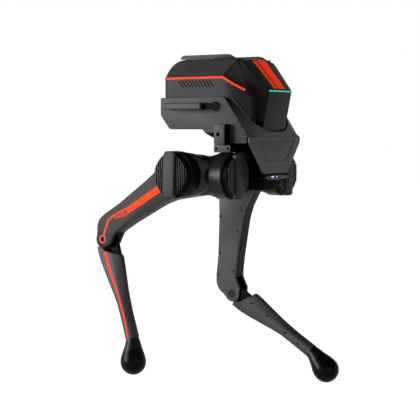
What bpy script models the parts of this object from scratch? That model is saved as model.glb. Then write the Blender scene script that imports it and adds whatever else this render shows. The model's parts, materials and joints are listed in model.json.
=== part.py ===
"""Two-legged point-foot walking robot, modelled as an assembly of separate parts.

Run with:  blender --background --python part.py
Units are metres. +Z is up, +X is the robot's forward direction and +Y is its left.
Body outlines are given from the hip: x = 0 at the hip-roll motor, z = 0 at the hip axes.
"""
import math

import bmesh
import bpy
from mathutils import Matrix, Vector

# ---------------------------------------------------------------- driving dimensions
LEFT, RIGHT = 1, -1
SIDE_NAME = {LEFT: "left", RIGHT: "right"}

LINK = 0.300                      # hip axis to knee axis, and knee axis to foot centre
HIP_Y = 0.105                     # leg plane from the middle of the robot
PITCH_X = -0.082                  # hip-pitch axis behind the roll motor's reference plane
FOOT_RADIUS = 0.0305
ABDUCTION = math.radians(2.8)     # both legs stand slightly outward
THIGH_BACK = {RIGHT: math.radians(58.0), LEFT: math.radians(7.5)}
SHANK_FORWARD = {RIGHT: math.radians(16.9), LEFT: math.radians(56.6)}
BODY_X = 0.0985                   # puts the middle of the whole robot at x = 0
LEG_REACH = math.cos(THIGH_BACK[LEFT]) + math.cos(SHANK_FORWARD[LEFT])
HIP_HEIGHT = LINK * LEG_REACH * math.cos(ABDUCTION) + FOOT_RADIUS

GAP = 0.0003                      # assembly gap between touching parts
SKIN = 0.003                      # wall of the moulded covers
ROUND = 32                        # sides of a full-size round part

PLATE_Y = 0.1086                  # outer face of the lower side plates
BLOCK_Y = 0.1300                  # outer face of the hip blocks on the plates
BLOCK_SPLIT = 0.0700              # height where the lower hip block ends
BLOCK_TOP = 0.1160                # height of the upper hip block
SHELL_Y = 0.1006                  # side face of the upper shell
SHELL_BASE = 0.1785               # joint between the upper shell and the side plates
STRIPE_Z = 0.222                  # edge where the shell's side leans inward
SHELL_TOP = 0.265
HEAD_Y = 0.0475                   # half width of the head column
BOX_TOP, BOX_BOTTOM = 0.177, 0.1045
BELLY = 0.0736                    # underside of the front of the chassis
CHEST_X = 0.0675                  # front face of the chest cover
CHEST_BACK = 0.0603

MOTOR_RADIUS = 0.053
CAP_RADIUS = 0.048
DISC_RADIUS = 0.0455
BAND_WIDTH, BAND_HEIGHT = 0.031, 0.104
ROLL_BACK, ROLL_FRONT, ROLL_FACE = -0.0115, 0.022, 0.0400
ROLL_CAP, PITCH_CAP = 0.0062, 0.0070
FLANGE_RADIUS = 0.048
FLANGE_FRONT, FLANGE_BACK = -0.0125, -0.0265
DRUM_IN, DRUM_OUT, PITCH_FACE = 0.0263, 0.0865, 0.1045

THIGH_HALF = 0.020                # half thickness of the thigh
THIGH_WALL = 0.013                # inner face of the thigh's side walls
HIP_DISC = 0.048
BOSS_RADIUS, BOSS_FACE = 0.042, 0.0259
KNEE_ROUND = 0.020
SHANK_HALF = 0.016
PIN_RADIUS = 0.004                # knee pin
CRANK_RADIUS = 0.020              # knee crank, and the matching lever on the shank
CRANK_ANGLE = math.radians(196)   # lever direction from the shank's own direction
LEVER_PIN = 0.003
ROD_INNER, ROD_OUTER = 0.001, 0.007

# ---------------------------------------------------------------- outlines
SIDE_PLATE = [(-0.180, 0.1365), (-0.180, BOX_TOP), (-0.001, BOX_TOP), (0.0584, 0.089),
              (0.0598, BELLY), (-0.012, BELLY), (-0.018, 0.0964), (-0.0556, 0.0964),
              (-0.060, BOX_BOTTOM), (-0.154, BOX_BOTTOM)]
TRAY = [(-0.177, 0.1385), (-0.177, 0.1765), (0.0, 0.1765), (0.0, 0.1075), (-0.1525, 0.1075)]
BELLY_PAN = [(-0.0585, 0.1070), (-0.054, 0.0945), (-0.027, 0.082), (-0.010, 0.0742),
             (0.054, 0.0742), (0.054, 0.0930), (0.044, 0.1070)]
FRONT_TURN = [(0.0220, 0.0945, 0.2035), (0.0380, 0.0860, 0.1935), (0.0500, 0.0770, 0.1770)]
HEAD = [(0.0765, 0.1940), (0.0765, 0.1870), (0.0615, 0.1065), (0.046, 0.1065), (0.057, 0.181),
        (0.006, 0.238), (-0.004, 0.246), (-0.004, 0.2645), (0.018, 0.2625)]
HEAD_RECESS = [(-0.0043, 0.300), (-0.0043, 0.2458), (0.0058, 0.2377), (0.0567, 0.1809),
               (0.0457, 0.100), (0.120, 0.100), (0.120, 0.300)]
CHEST_PANEL = [(-0.1084, 0.089), (-0.1075, 0.074), (-0.0506, 0.0035),
               (0.0506, 0.0035), (0.1075, 0.074), (0.1084, 0.089)]
CHEST_INSET = [(-0.0809, 0.079), (-0.0447, 0.032), (0.0447, 0.032), (0.0809, 0.079)]
CHEST_WING = [(0.0048, 0.1712), (0.0068, 0.1712), (0.0665, 0.1187), (CHEST_X, 0.0885),
              (0.0593, 0.0885)]
RAIL = [(-0.1535, 0.2655), (-0.1450, 0.2745), (-0.018, 0.2745), (0.000, 0.2655)]
HANDLE = [(-0.150, 0.1415), (-0.058, 0.1415), (-0.022, 0.120), (-0.012, 0.1090), (-0.036, 0.1090),
          (-0.060, 0.1285), (-0.133, 0.1285), (-0.135, 0.1090), (-0.148, 0.1090),
          (-0.150, 0.122)]
CAMERA_BEZEL = [(-0.0517, 0.0030), (-0.0517, -0.004), (-0.040, -0.012), (0.040, -0.012),
                (0.0517, -0.004), (0.0517, 0.0030)]
SHANK_LOWER = [(-0.0250, -0.0450), (-0.0182, -0.0850), (-0.0085, -0.1350), (-0.0045, -0.1580),
               (-0.0040, -0.1950), (-0.0040, -0.2460), (0.0270, -0.2460), (0.0250, -0.1950),
               (0.0255, -0.1450), (0.0285, -0.0980), (0.0308, -0.0560), (0.0280, -0.0480)]
SHANK_EYE = 0.0218                         # hollow round the knee at the top of the shank
ANKLE_TOP = (0.0115, -0.2463, 0.0160)      # x, z and radius of the round neck
ANKLE_BASE = (0.0048, -0.2720, 0.0238)

# ---------------------------------------------------------------- colours
GREY = (0.105, 0.105, 0.106)
DARK = (0.030, 0.030, 0.031)
BLACK = (0.008, 0.008, 0.009)
STEEL = (0.55, 0.55, 0.56)


def clear_scene():
    for item in list(bpy.data.objects):
        bpy.data.objects.remove(item, do_unlink=True)


def new_collection(name):
    collection = bpy.data.collections.new(name)
    bpy.context.scene.collection.children.link(collection)
    return collection


def finish(name, colour, roughness, metallic, glow=0.0):
    look = bpy.data.materials.new(name)
    look.use_nodes = True
    shader = look.node_tree.nodes["Principled BSDF"]
    shader.inputs["Base Color"].default_value = (*colour, 1.0)
    shader.inputs["Roughness"].default_value = roughness
    shader.inputs["Metallic"].default_value = metallic
    if glow:
        shader.inputs["Emission Color"].default_value = (*colour, 1.0)
        shader.inputs["Emission Strength"].default_value = glow
    look.diffuse_color = (*colour, 1.0)
    return look


clear_scene()
PARTS = new_collection("walking_robot")
CUTTERS = new_collection("cutters")


def axis_empty(name, parent, location, rotation=(0.0, 0.0, 0.0)):
    empty = bpy.data.objects.new(name, None)
    PARTS.objects.link(empty)
    empty.empty_display_size = 0.03
    empty.parent = parent
    empty.location = location
    empty.rotation_euler = rotation
    return empty


def add_part(name, mesh, parent, colour=GREY, roughness=0.5, metallic=0.0, glow=0.0):
    part = bpy.data.objects.new(name, mesh)
    mesh.name = name
    mesh.materials.append(finish(name + "_finish", colour, roughness, metallic, glow))
    PARTS.objects.link(part)
    part.parent = parent
    return part


def combine(part, mesh, operation):
    """Add another solid to the part, or cut one from it, with a Boolean modifier."""
    tool = bpy.data.objects.new(part.name + "_" + operation.lower(), mesh)
    CUTTERS.objects.link(tool)
    tool.parent = part.parent
    tool.hide_render = True
    tool.display_type = "WIRE"
    boolean = part.modifiers.new(operation.title(), "BOOLEAN")
    boolean.operation = operation
    boolean.solver = "EXACT"
    boolean.object = tool


def soften(part, width, segments=2):
    bevel = part.modifiers.new("Bevel", "BEVEL")
    bevel.width = width
    bevel.segments = segments
    bevel.limit_method = "ANGLE"
    bevel.angle_limit = math.radians(30)


def to_mesh(form, flatten=True):
    if flatten:
        bmesh.ops.dissolve_limit(form, angle_limit=math.radians(1.0), verts=form.verts, edges=form.edges)
    bmesh.ops.recalc_face_normals(form, faces=form.faces)
    mesh = bpy.data.meshes.new("solid")
    form.to_mesh(mesh)
    form.free()
    return mesh


def box(low, high):
    form = bmesh.new()
    bmesh.ops.create_cube(form, size=1.0)
    low, high = Vector(low), Vector(high)
    bmesh.ops.scale(form, vec=high - low, verts=form.verts)
    bmesh.ops.translate(form, vec=(low + high) / 2, verts=form.verts)
    return to_mesh(form)


def cylinder(axis, centre, start, end, radius, segments=ROUND):
    """Cylinder along X or Y, from start to end on that axis, with its centre line at centre."""
    form = bmesh.new()
    bmesh.ops.create_cone(form, cap_ends=True, segments=segments, radius1=radius, radius2=radius,
                          depth=abs(end - start))
    turn = Matrix.Rotation(math.radians(90), 4, "Y" if axis == "X" else "X")
    middle = (start + end) / 2
    place = (middle, *centre) if axis == "X" else (centre[0], middle, centre[1])
    bmesh.ops.transform(form, matrix=Matrix.Translation(place) @ turn, verts=form.verts)
    return to_mesh(form, flatten=False)


def hull(points):
    form = bmesh.new()
    for point in points:
        form.verts.new(point)
    made = bmesh.ops.convex_hull(form, input=form.verts)
    loose = {item for item in made["geom_interior"] + made["geom_unused"]
             if isinstance(item, bmesh.types.BMVert)}
    bmesh.ops.delete(form, geom=list(loose), context="VERTS")
    return to_mesh(form)


def ring(centre, radius, height, segments=24):
    """Points of a level circle: centre is (x, y)."""
    steps = [math.tau * step / segments for step in range(segments)]
    return [(centre[0] + radius * math.cos(turn), centre[1] + radius * math.sin(turn), height)
            for turn in steps]


def arc(centre, radius, start, end, steps):
    """Points of an arc in an outline, angles in degrees from the outline's first axis."""
    angles = [math.radians(start + (end - start) * step / steps) for step in range(steps + 1)]
    return [(centre[0] + radius * math.cos(turn), centre[1] + radius * math.sin(turn))
            for turn in angles]


def rounded(outline, radius, steps=3):
    """The outline with each corner replaced by a short arc-like curve."""
    result = []
    for index, corner in enumerate(outline):
        corner = Vector(corner)
        back = Vector(outline[index - 1]) - corner
        ahead = Vector(outline[(index + 1) % len(outline)]) - corner
        reach = min(radius, back.length * 0.4, ahead.length * 0.4)
        start, end = corner + back.normalized() * reach, corner + ahead.normalized() * reach
        for step in range(steps + 1):
            share = step / steps
            result.append(tuple(start.lerp(corner, share).lerp(corner.lerp(end, share), share)))
    return result


def plate(plane, outline, low, high):
    """Flat outline given thickness from low to high along the axis that is square to its plane."""
    curve = bpy.data.curves.new("outline", "CURVE")
    curve.dimensions = "2D"
    curve.fill_mode = "BOTH"
    curve.extrude = abs(high - low) / 2
    spline = curve.splines.new("POLY")
    spline.points.add(len(outline) - 1)
    for point, (first, second) in zip(spline.points, outline):
        point.co = (first, second, 0.0, 1.0)
    spline.use_cyclic_u = True
    holder = bpy.data.objects.new("outline", curve)
    flat = bpy.data.meshes.new_from_object(holder)
    bpy.data.objects.remove(holder)
    bpy.data.curves.remove(curve)
    form = bmesh.new()
    form.from_mesh(flat)
    bpy.data.meshes.remove(flat)
    bmesh.ops.remove_doubles(form, verts=form.verts, dist=1e-6)
    middle = (low + high) / 2
    if plane == "XZ":
        place = Matrix.Translation((0, middle, 0)) @ Matrix.Rotation(math.radians(90), 4, "X")
    elif plane == "YZ":
        place = Matrix.Translation((middle, 0, 0)) @ Matrix(
            ((0, 0, 1, 0), (1, 0, 0, 0), (0, 1, 0, 0), (0, 0, 0, 1)))
    else:
        place = Matrix.Translation((0, 0, middle))
    bmesh.ops.transform(form, matrix=place, verts=form.verts)
    return to_mesh(form)


def turned(name, parent, profile, axis, location, **look):
    """Round part from a profile of (radius, along the axis) points, with a Screw modifier."""
    form = bmesh.new()
    verts = [form.verts.new((radius, 0.0, along)) for radius, along in profile]
    for first, second in zip(verts, verts[1:]):
        form.edges.new((first, second))
    mesh = bpy.data.meshes.new(name)
    form.to_mesh(mesh)
    form.free()
    part = add_part(name, mesh, parent, **look)
    part.location = location
    part.rotation_euler = (0, math.radians(90), 0) if axis == "X" else (math.radians(-90), 0, 0)
    screw = part.modifiers.new("Screw", "SCREW")
    screw.axis = "Z"
    screw.steps = screw.render_steps = ROUND
    screw.use_merge_vertices = True
    screw.merge_threshold = 0.00005
    screw.use_normal_flip = True
    return part


def shell_form(inset):
    """Solid shape of the upper shell, drawn inward by inset; an inset one also runs out below."""
    levels = [(SHELL_BASE, SHELL_Y, -0.183), (STRIPE_Z, SHELL_Y, -0.183), (0.245, 0.0842, -0.181),
              (0.257, 0.0757, -0.174), (SHELL_TOP - inset, 0.070, -0.160)]
    if inset:
        levels[0] = (SHELL_BASE - 0.02, SHELL_Y, -0.183)
    corner = 0.020
    points = []
    for side in (LEFT, RIGHT):
        for height, half_width, rear in levels:
            centre = (rear + corner, half_width - corner)
            for x, y in arc(centre, corner - inset, 90, 180, 4):
                points.append((x, side * y, height))
        wide = side * (SHELL_Y - inset)
        narrow = side * (0.050 - inset)
        drop = 0.02 if inset else 0.0
        points += [(-0.010, wide, STRIPE_Z - inset * 0.6), (0.002, wide, 0.160 - drop)]
        for x, width, top in FRONT_TURN:
            turn = side * (width - inset)
            points += [(x - inset, turn, top - inset * 0.6), (x - inset, turn, 0.110 - drop)]
        points += [(0.005, side * (0.062 - inset), SHELL_TOP - inset),
                   (0.012 - inset, narrow, 0.259 - inset), (0.072 - inset, narrow, 0.190 - inset * 0.5),
                   (0.060 - inset, narrow, 0.1196 - drop)]
    return hull(points)


def make_upper_shell(body):
    shell = add_part("upper_shell", shell_form(0.0), body, GREY, 0.45)
    soften(shell, 0.002)
    combine(shell, shell_form(SKIN), "DIFFERENCE")
    under = [(-0.300, 0.0), (-0.300, SHELL_BASE), (-0.001, SHELL_BASE), (0.0665, 0.1196), (0.120, 0.0)]
    combine(shell, plate("XZ", under, -0.15, 0.15), "DIFFERENCE")
    reach = HEAD_Y + GAP
    combine(shell, plate("XZ", HEAD_RECESS, -reach, reach), "DIFFERENCE")


def make_chassis(body):
    inner_y = PLATE_Y - SKIN - GAP
    tray = add_part("chassis_tray", plate("XZ", TRAY, -inner_y, inner_y), body, DARK, 0.55)
    lift_lid(tray.data)
    wall = tray.modifiers.new("Solidify", "SOLIDIFY")
    wall.thickness = 0.0025
    wall.offset = -1.0
    wall.use_even_offset = True
    pan = add_part("belly_pan", plate("XZ", BELLY_PAN, -inner_y, inner_y), body, BLACK, 0.6)
    soften(pan, 0.002)
    for side in (LEFT, RIGHT):
        name = "side_plate_" + SIDE_NAME[side]
        outline = rounded(SIDE_PLATE, 0.006)
        add_part(name, plate("XZ", outline, side * (PLATE_Y - SKIN), side * PLATE_Y), body, GREY, 0.45)
    core = add_part("chassis_core", box((-0.017, -0.046, -0.035), (0.060, 0.046, BELLY)), body, BLACK, 0.6)
    soften(core, 0.004)
    rear = add_part("rear_panel", box((-0.1830, -0.070, 0.142), (-0.1773, 0.070, 0.172)), body, DARK, 0.5)
    soften(rear, 0.0015)
    pack = add_part("battery_pack", box((-0.145, -0.070, 0.111), (-0.035, 0.070, 0.168)), body, DARK, 0.5)
    soften(pack, 0.004)
    board = add_part("control_board", box((-0.150, -0.075, 0.190), (-0.030, 0.075, 0.192)), body,
                     (0.01, 0.10, 0.05), 0.5)
    combine(board, box((-0.110, -0.025, 0.1915), (-0.060, 0.025, 0.200)), "UNION")


def lift_lid(mesh):
    """Leave the solid open on top."""
    form = bmesh.new()
    form.from_mesh(mesh)
    lid = [face for face in form.faces if face.normal.z > 0.9]
    bmesh.ops.delete(form, geom=lid, context="FACES")
    form.to_mesh(mesh)
    form.free()


def make_head(body):
    head = add_part("head_housing", plate("XZ", HEAD, -HEAD_Y, HEAD_Y), body, DARK, 0.4)
    soften(head, 0.0018)
    bar = add_part("head_light_bar", box((0.0768, -HEAD_Y, 0.1880), (0.0800, HEAD_Y, 0.1928)), body,
                   (0.05, 0.75, 0.70), 0.3, 0.0, 2.0)
    soften(bar, 0.0008)


def make_chest(body):
    chest = add_part("chest_cover", plate("YZ", rounded(CHEST_PANEL, 0.006), CHEST_BACK, CHEST_X), body,
                     (0.06, 0.06, 0.061), 0.5)
    soften(chest, 0.001)
    collar = [(0.0550, 0.0885), (CHEST_X - 0.0002, 0.0870), (0.0663, 0.1055), (0.0550, 0.1055)]
    combine(chest, plate("XZ", collar, -0.100, 0.100), "UNION")
    for side in (LEFT, RIGHT):
        combine(chest, plate("XZ", CHEST_WING, side * 0.0945, side * (PLATE_Y - GAP)), "UNION")
    combine(chest, plate("YZ", rounded(CHEST_INSET, 0.006), CHEST_X - 0.002, CHEST_X + 0.003),
            "DIFFERENCE")
    bezel = add_part("camera_bezel", plate("YZ", CAMERA_BEZEL, CHEST_BACK, 0.0672), body, BLACK, 0.35)
    soften(bezel, 0.0012)
    lens = rounded([(-0.036, -0.0085), (0.036, -0.0085), (0.036, 0.0005), (-0.036, 0.0005)], 0.004)
    add_part("camera_lens", plate("YZ", lens, 0.0672 + GAP, 0.0690), body, (0.01, 0.01, 0.02), 0.05)


def make_rails_and_handles(body):
    for side in (LEFT, RIGHT):
        name = SIDE_NAME[side]
        rail = add_part("top_rail_" + name, plate("XZ", RAIL, side * 0.0605, side * 0.0690), body,
                        GREY, 0.4)
        soften(rail, 0.001)
        outline = HANDLE if side == LEFT else [(x, -y) for x, y in HANDLE]
        handle = add_part("handle_" + name, plate("XY", rounded(outline, 0.008), 0.1495, 0.1635), body,
                          DARK, 0.5)
        soften(handle, 0.0015)


def make_hip_blocks(body):
    for side in (LEFT, RIGHT):
        name = SIDE_NAME[side]
        inner = PLATE_Y + GAP
        blocks = {
            "hip_block_upper_": ((-0.0150, inner, BLOCK_SPLIT + GAP), (0.0140, BLOCK_Y, BLOCK_TOP)),
            "hip_block_lower_": ((-0.0150, inner, MOTOR_RADIUS + 0.0005), (0.0300, BLOCK_Y, BLOCK_SPLIT)),
            "motor_saddle_": ((-0.0100, 0.060, MOTOR_RADIUS + 0.0005), (0.0200, 0.1045, BELLY + 0.0003)),
        }
        for prefix, (low, high) in blocks.items():
            low, high = (low[0], side * low[1], low[2]), (high[0], side * high[1], high[2])
            block = add_part(prefix + name, box(*ordered(low, high)), body, DARK, 0.5)
            soften(block, 0.0015)


def ordered(first, second):
    low = tuple(min(pair) for pair in zip(first, second))
    high = tuple(max(pair) for pair in zip(first, second))
    return low, high


def motor_cap_profile(length):
    """Rim ring and ribbed disc of a motor's end cap, from 0 to length along the axis."""
    step = length * 0.45
    return [(0.0, 0.0), (CAP_RADIUS, 0.0), (CAP_RADIUS, step), (DISC_RADIUS, step),
            (DISC_RADIUS, length), (0.0, length)]


def band_outline():
    half_w, half_h = BAND_WIDTH / 2, BAND_HEIGHT / 2
    return rounded([(-half_w, -half_h), (half_w, -half_h), (half_w, half_h), (-half_w, half_h)], 0.010)


def make_roll_motor(body, side):
    name = SIDE_NAME[side]
    place = axis_empty("roll_motor_axis_" + name, body, (0.0, side * HIP_Y, 0.0))
    housing = add_part("roll_motor_housing_" + name,
                       cylinder("X", (0.0, 0.0), ROLL_BACK, ROLL_FRONT, MOTOR_RADIUS), place, DARK, 0.4)
    soften(housing, 0.003)
    length = ROLL_CAP
    turned("roll_motor_cap_" + name, place, motor_cap_profile(length), "X",
           (ROLL_FRONT + GAP, 0.0, 0.0), colour=BLACK, roughness=0.4)
    start = ROLL_FRONT + GAP + length + GAP
    band = add_part("roll_motor_band_" + name, plate("YZ", band_outline(), start, ROLL_FACE), place,
                    GREY, 0.45)
    soften(band, 0.002)


# ---------------------------------------------------------------- legs
def make_hip_link(roll, side):
    """Turning flange behind the roll motor, the pitch motor's drum and the neck between them."""
    name = SIDE_NAME[side]
    link = add_part("hip_link_" + name,
                    cylinder("Y", (PITCH_X, 0.0), side * DRUM_IN, side * DRUM_OUT, MOTOR_RADIUS),
                    roll, BLACK, 0.4)
    soften(link, 0.003)
    combine(link, cylinder("X", (0.0, 0.0), FLANGE_BACK, FLANGE_FRONT, FLANGE_RADIUS), "UNION")
    neck = []
    for sign in (1, -1):
        neck += [(FLANGE_FRONT - 0.0002, side * (DRUM_IN + 0.0002), sign * 0.036),
                 (FLANGE_FRONT - 0.0002, side * 0.0450, sign * 0.016),
                 (PITCH_X, side * (DRUM_IN + 0.0002), sign * 0.0510),
                 (PITCH_X, side * 0.062, sign * 0.0510)]
    combine(link, hull(neck), "UNION")
    length = PITCH_CAP
    start = DRUM_OUT + GAP
    cap = turned("pitch_motor_cap_" + name, roll, motor_cap_profile(length), "Y",
                 (PITCH_X, side * start, 0.0), colour=BLACK, roughness=0.4)
    if side == RIGHT:
        cap.rotation_euler = (math.radians(90), 0, 0)
    outline = [(PITCH_X + x, z) for x, z in band_outline()]
    band = add_part("pitch_motor_band_" + name,
                    plate("XZ", outline, side * (start + length + GAP), side * PITCH_FACE),
                    roll, GREY, 0.45)
    soften(band, 0.002)


def thigh_outline(inset):
    """Side view of the thigh; the inset one is its cavity, which is open round the knee."""
    hip = arc((0.0, 0.0), HIP_DISC - inset, -30, 195, 14)
    rear = [(-0.0605 + inset, -0.070), (-0.0548 + inset, -0.1185), (-0.0487 + inset, -0.217),
            (-0.0500 + inset, -0.264)]
    front = [(0.004 - inset, -0.212), (0.0106 - inset, -0.1138), (0.019 - inset, -0.0755)]
    if inset:
        return hip + rear + [(-0.047 + inset, -0.287), (-0.060, -0.292), (-0.060, -0.340),
                             (0.060, -0.340), (0.060, -0.262), (0.0035 - inset, -0.259)] + front
    knee = arc((0.0, -LINK), KNEE_ROUND, 215, 360, 10)
    return hip + rear + [(-0.0465, -0.289), (-0.0245, -0.3085)] + knee + [
        (0.0205, -0.2860), (0.0035, -0.259)] + front


def make_thigh(thigh, side):
    name = SIDE_NAME[side]
    outer = plate("XZ", thigh_outline(0.0), side * -THIGH_WALL, side * THIGH_HALF)
    shell = add_part("thigh_shell_" + name, outer, thigh, GREY, 0.45)
    soften(shell, 0.0015)
    combine(shell, cylinder("Y", (0.0, 0.0), side * 0.0195, side * BOSS_FACE, BOSS_RADIUS), "UNION")
    cavity = plate("XZ", thigh_outline(SKIN), side * -(THIGH_WALL + 0.004), side * THIGH_WALL)
    combine(shell, cavity, "DIFFERENCE")
    knee_hole = cylinder("Y", (0.0, -LINK), -0.03, 0.03, PIN_RADIUS + GAP, 24)
    combine(shell, knee_hole, "DIFFERENCE")
    inner = plate("XZ", thigh_outline(0.0), side * -THIGH_HALF, side * -(THIGH_WALL + GAP))
    cover = add_part("thigh_cover_" + name, inner, thigh, GREY, 0.45)
    soften(cover, 0.0015)
    combine(cover, cylinder("Y", (0.0, 0.0), side * -BOSS_FACE, side * -0.0195, BOSS_RADIUS), "UNION")
    combine(cover, cylinder("Y", (0.0, -LINK), -0.03, 0.03, PIN_RADIUS + GAP, 24), "DIFFERENCE")
    combine(cover, cylinder("Y", (0.0, 0.0), -0.03, 0.03, 0.0085, 32), "DIFFERENCE")
    pin = THIGH_HALF + GAP
    profile = [(0.0, -pin - 0.0015), (0.0095, -pin - 0.0015), (0.0095, -pin), (PIN_RADIUS, -pin),
               (PIN_RADIUS, pin), (0.0105, pin), (0.0105, pin + 0.0015), (0.0, pin + 0.0015)]
    if side == RIGHT:
        profile = [(radius, -along) for radius, along in reversed(profile)]
    turned("knee_pin_" + name, thigh, profile, "Y", (0.0, 0.0, -LINK), colour=STEEL, roughness=0.35,
           metallic=1.0)


def make_knee_motor(thigh, side):
    name = SIDE_NAME[side]
    start = side * -(BOSS_FACE + GAP)
    end = side * -0.0700
    motor = add_part("knee_motor_housing_" + name, cylinder("Y", (0.0, 0.0), start, end, 0.046),
                     thigh, BLACK, 0.4)
    soften(motor, 0.003)
    cap = add_part("knee_motor_cap_" + name,
                   cylinder("Y", (0.0, 0.0), end - side * GAP, end - side * 0.0035, 0.040),
                   thigh, DARK, 0.4)
    soften(cap, 0.001)


def lever_point():
    return (CRANK_RADIUS * math.sin(CRANK_ANGLE), -CRANK_RADIUS * math.cos(CRANK_ANGLE))


def lobe(hub_radius, end_radius, steps=24):
    """Outline round a hub at the origin and a smaller end round the lever pin."""
    end = lever_point()
    circles = [(0.0, 0.0, hub_radius), (*end, end_radius)]
    return convex_outline([point for x, z, radius in circles
                           for point in arc((x, z), radius, 0, 360 - 360 / steps, steps - 1)])


def convex_outline(points):
    """The points on the outside of a flat cloud of points, in order round it."""
    points = sorted(set(points))
    halves = []
    for run in (points, points[::-1]):
        half = []
        for point in run:
            while len(half) > 1 and turn_of(half[-2], half[-1], point) <= 0:
                half.pop()
            half.append(point)
        halves += half[:-1]
    return halves


def turn_of(first, second, third):
    return ((second[0] - first[0]) * (third[1] - first[1])
            - (second[1] - first[1]) * (third[0] - first[0]))


def make_knee_drive(thigh, side, fold):
    """Crank on the hip axis and the push rod that carries its turn down to the shank."""
    name = SIDE_NAME[side]
    crank_axis = axis_empty("knee_crank_axis_" + name, thigh, (0.0, 0.0, 0.0), (0.0, -fold, 0.0))
    crank = add_part("knee_crank_" + name, plate("XZ", lobe(0.013, 0.007), side * -0.0125, side * -0.001),
                     crank_axis, STEEL, 0.4, 1.0)
    combine(crank, cylinder("Y", (0.0, 0.0), side * -(BOSS_FACE - GAP), side * -0.010, 0.008, 32), "UNION")
    pin_x, pin_z = lever_point()
    combine(crank, cylinder("Y", (pin_x, pin_z), side * -0.003, side * 0.009, LEVER_PIN, 20), "UNION")
    rod_axis = axis_empty("push_rod_axis_" + name, crank_axis, (pin_x, 0.0, pin_z), (0.0, fold, 0.0))
    half, eye = 0.0035, 0.007
    outline = (arc((0.0, 0.0), eye, -30, 210, 12) + [(-half, -0.012), (-half, -LINK + 0.012)]
               + arc((0.0, -LINK), eye, 150, 390, 12) + [(half, -LINK + 0.012), (half, -0.012)])
    rod = add_part("push_rod_" + name, plate("XZ", outline, side * ROD_INNER, side * ROD_OUTER), rod_axis,
                   STEEL, 0.4, 1.0)
    for height in (0.0, -LINK):
        combine(rod, cylinder("Y", (0.0, height), -0.02, 0.02, LEVER_PIN + GAP, 20), "DIFFERENCE")


def shank_outline():
    """Side view of the shank, hollowed round the knee at the top."""
    hollow = arc((0.0, 0.0), SHANK_EYE, 236, 215, 4)
    return [(-0.0255, -0.0145)] + SHANK_LOWER + [(-0.0040, -0.0290)] + hollow


def make_shank(knee, side):
    name = SIDE_NAME[side]
    outline = shank_outline()
    frame = add_part("shank_frame_" + name,
                     plate("XZ", outline, side * -SHANK_HALF, side * -GAP / 2), knee, GREY, 0.5)
    soften(frame, 0.003)
    pin_x, pin_z = lever_point()
    tongue = convex_outline(arc((0.0, 0.0), 0.0185, 0, 345, 23) + arc((pin_x, pin_z), 0.007, 0, 345, 23)
                            + [(-0.0185, -0.034), (0.024, -0.050), (0.0235, -0.006)])
    combine(frame, plate("XZ", tongue, side * -0.0124, side * -0.0008), "UNION")
    combine(frame, cylinder("Y", (pin_x, pin_z), side * -0.003, side * 0.009, LEVER_PIN, 20), "UNION")
    combine(frame, cylinder("Y", (0.0, 0.0), -0.03, 0.03, PIN_RADIUS + GAP, 24), "DIFFERENCE")
    cover = add_part("shank_cover_" + name,
                     plate("XZ", outline, side * GAP / 2, side * SHANK_HALF), knee, GREY, 0.45)
    soften(cover, 0.003)


def make_foot(knee, side):
    name = SIDE_NAME[side]
    top_x, top_z, top_radius = ANKLE_TOP
    base_x, base_z, base_radius = ANKLE_BASE
    sleeve = ring((top_x, 0.0), top_radius, top_z) + ring((base_x, 0.0), base_radius, base_z)
    add_part("ankle_sleeve_" + name, hull(sleeve), knee, DARK, 0.45)
    ball = ring((base_x, 0.0), base_radius, base_z - GAP)
    rows = 14
    for row in range(2, rows + 1):
        tilt = math.pi * row / rows
        level = -LINK + FOOT_RADIUS * math.cos(tilt)
        ball += ring((0.0, 0.0), max(FOOT_RADIUS * math.sin(tilt), 1e-5), level)
    add_part("foot_" + name, hull(ball), knee, BLACK, 0.5)


def make_leg(body, side):
    name = SIDE_NAME[side]
    fold = THIGH_BACK[side] + SHANK_FORWARD[side]
    roll = axis_empty("hip_roll_axis_" + name, body, (0.0, side * HIP_Y, 0.0), (side * ABDUCTION, 0.0, 0.0))
    thigh = axis_empty("hip_pitch_axis_" + name, roll, (PITCH_X, 0.0, 0.0), (0.0, THIGH_BACK[side], 0.0))
    knee = axis_empty("knee_axis_" + name, thigh, (0.0, 0.0, -LINK), (0.0, -fold, 0.0))
    make_hip_link(roll, side)
    make_thigh(thigh, side)
    make_knee_motor(thigh, side)
    make_knee_drive(thigh, side, fold)
    make_shank(knee, side)
    make_foot(knee, side)


def main():
    body = axis_empty("body_origin", None, (BODY_X, 0.0, HIP_HEIGHT))
    make_upper_shell(body)
    make_chassis(body)
    make_head(body)
    make_chest(body)
    make_rails_and_handles(body)
    make_hip_blocks(body)
    for side in (RIGHT, LEFT):
        make_roll_motor(body, side)
        make_leg(body, side)


main()
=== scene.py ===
import json
from math import cos, radians, sin, sqrt, tau

import bmesh
import bpy
from mathutils import Matrix, Vector


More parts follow.
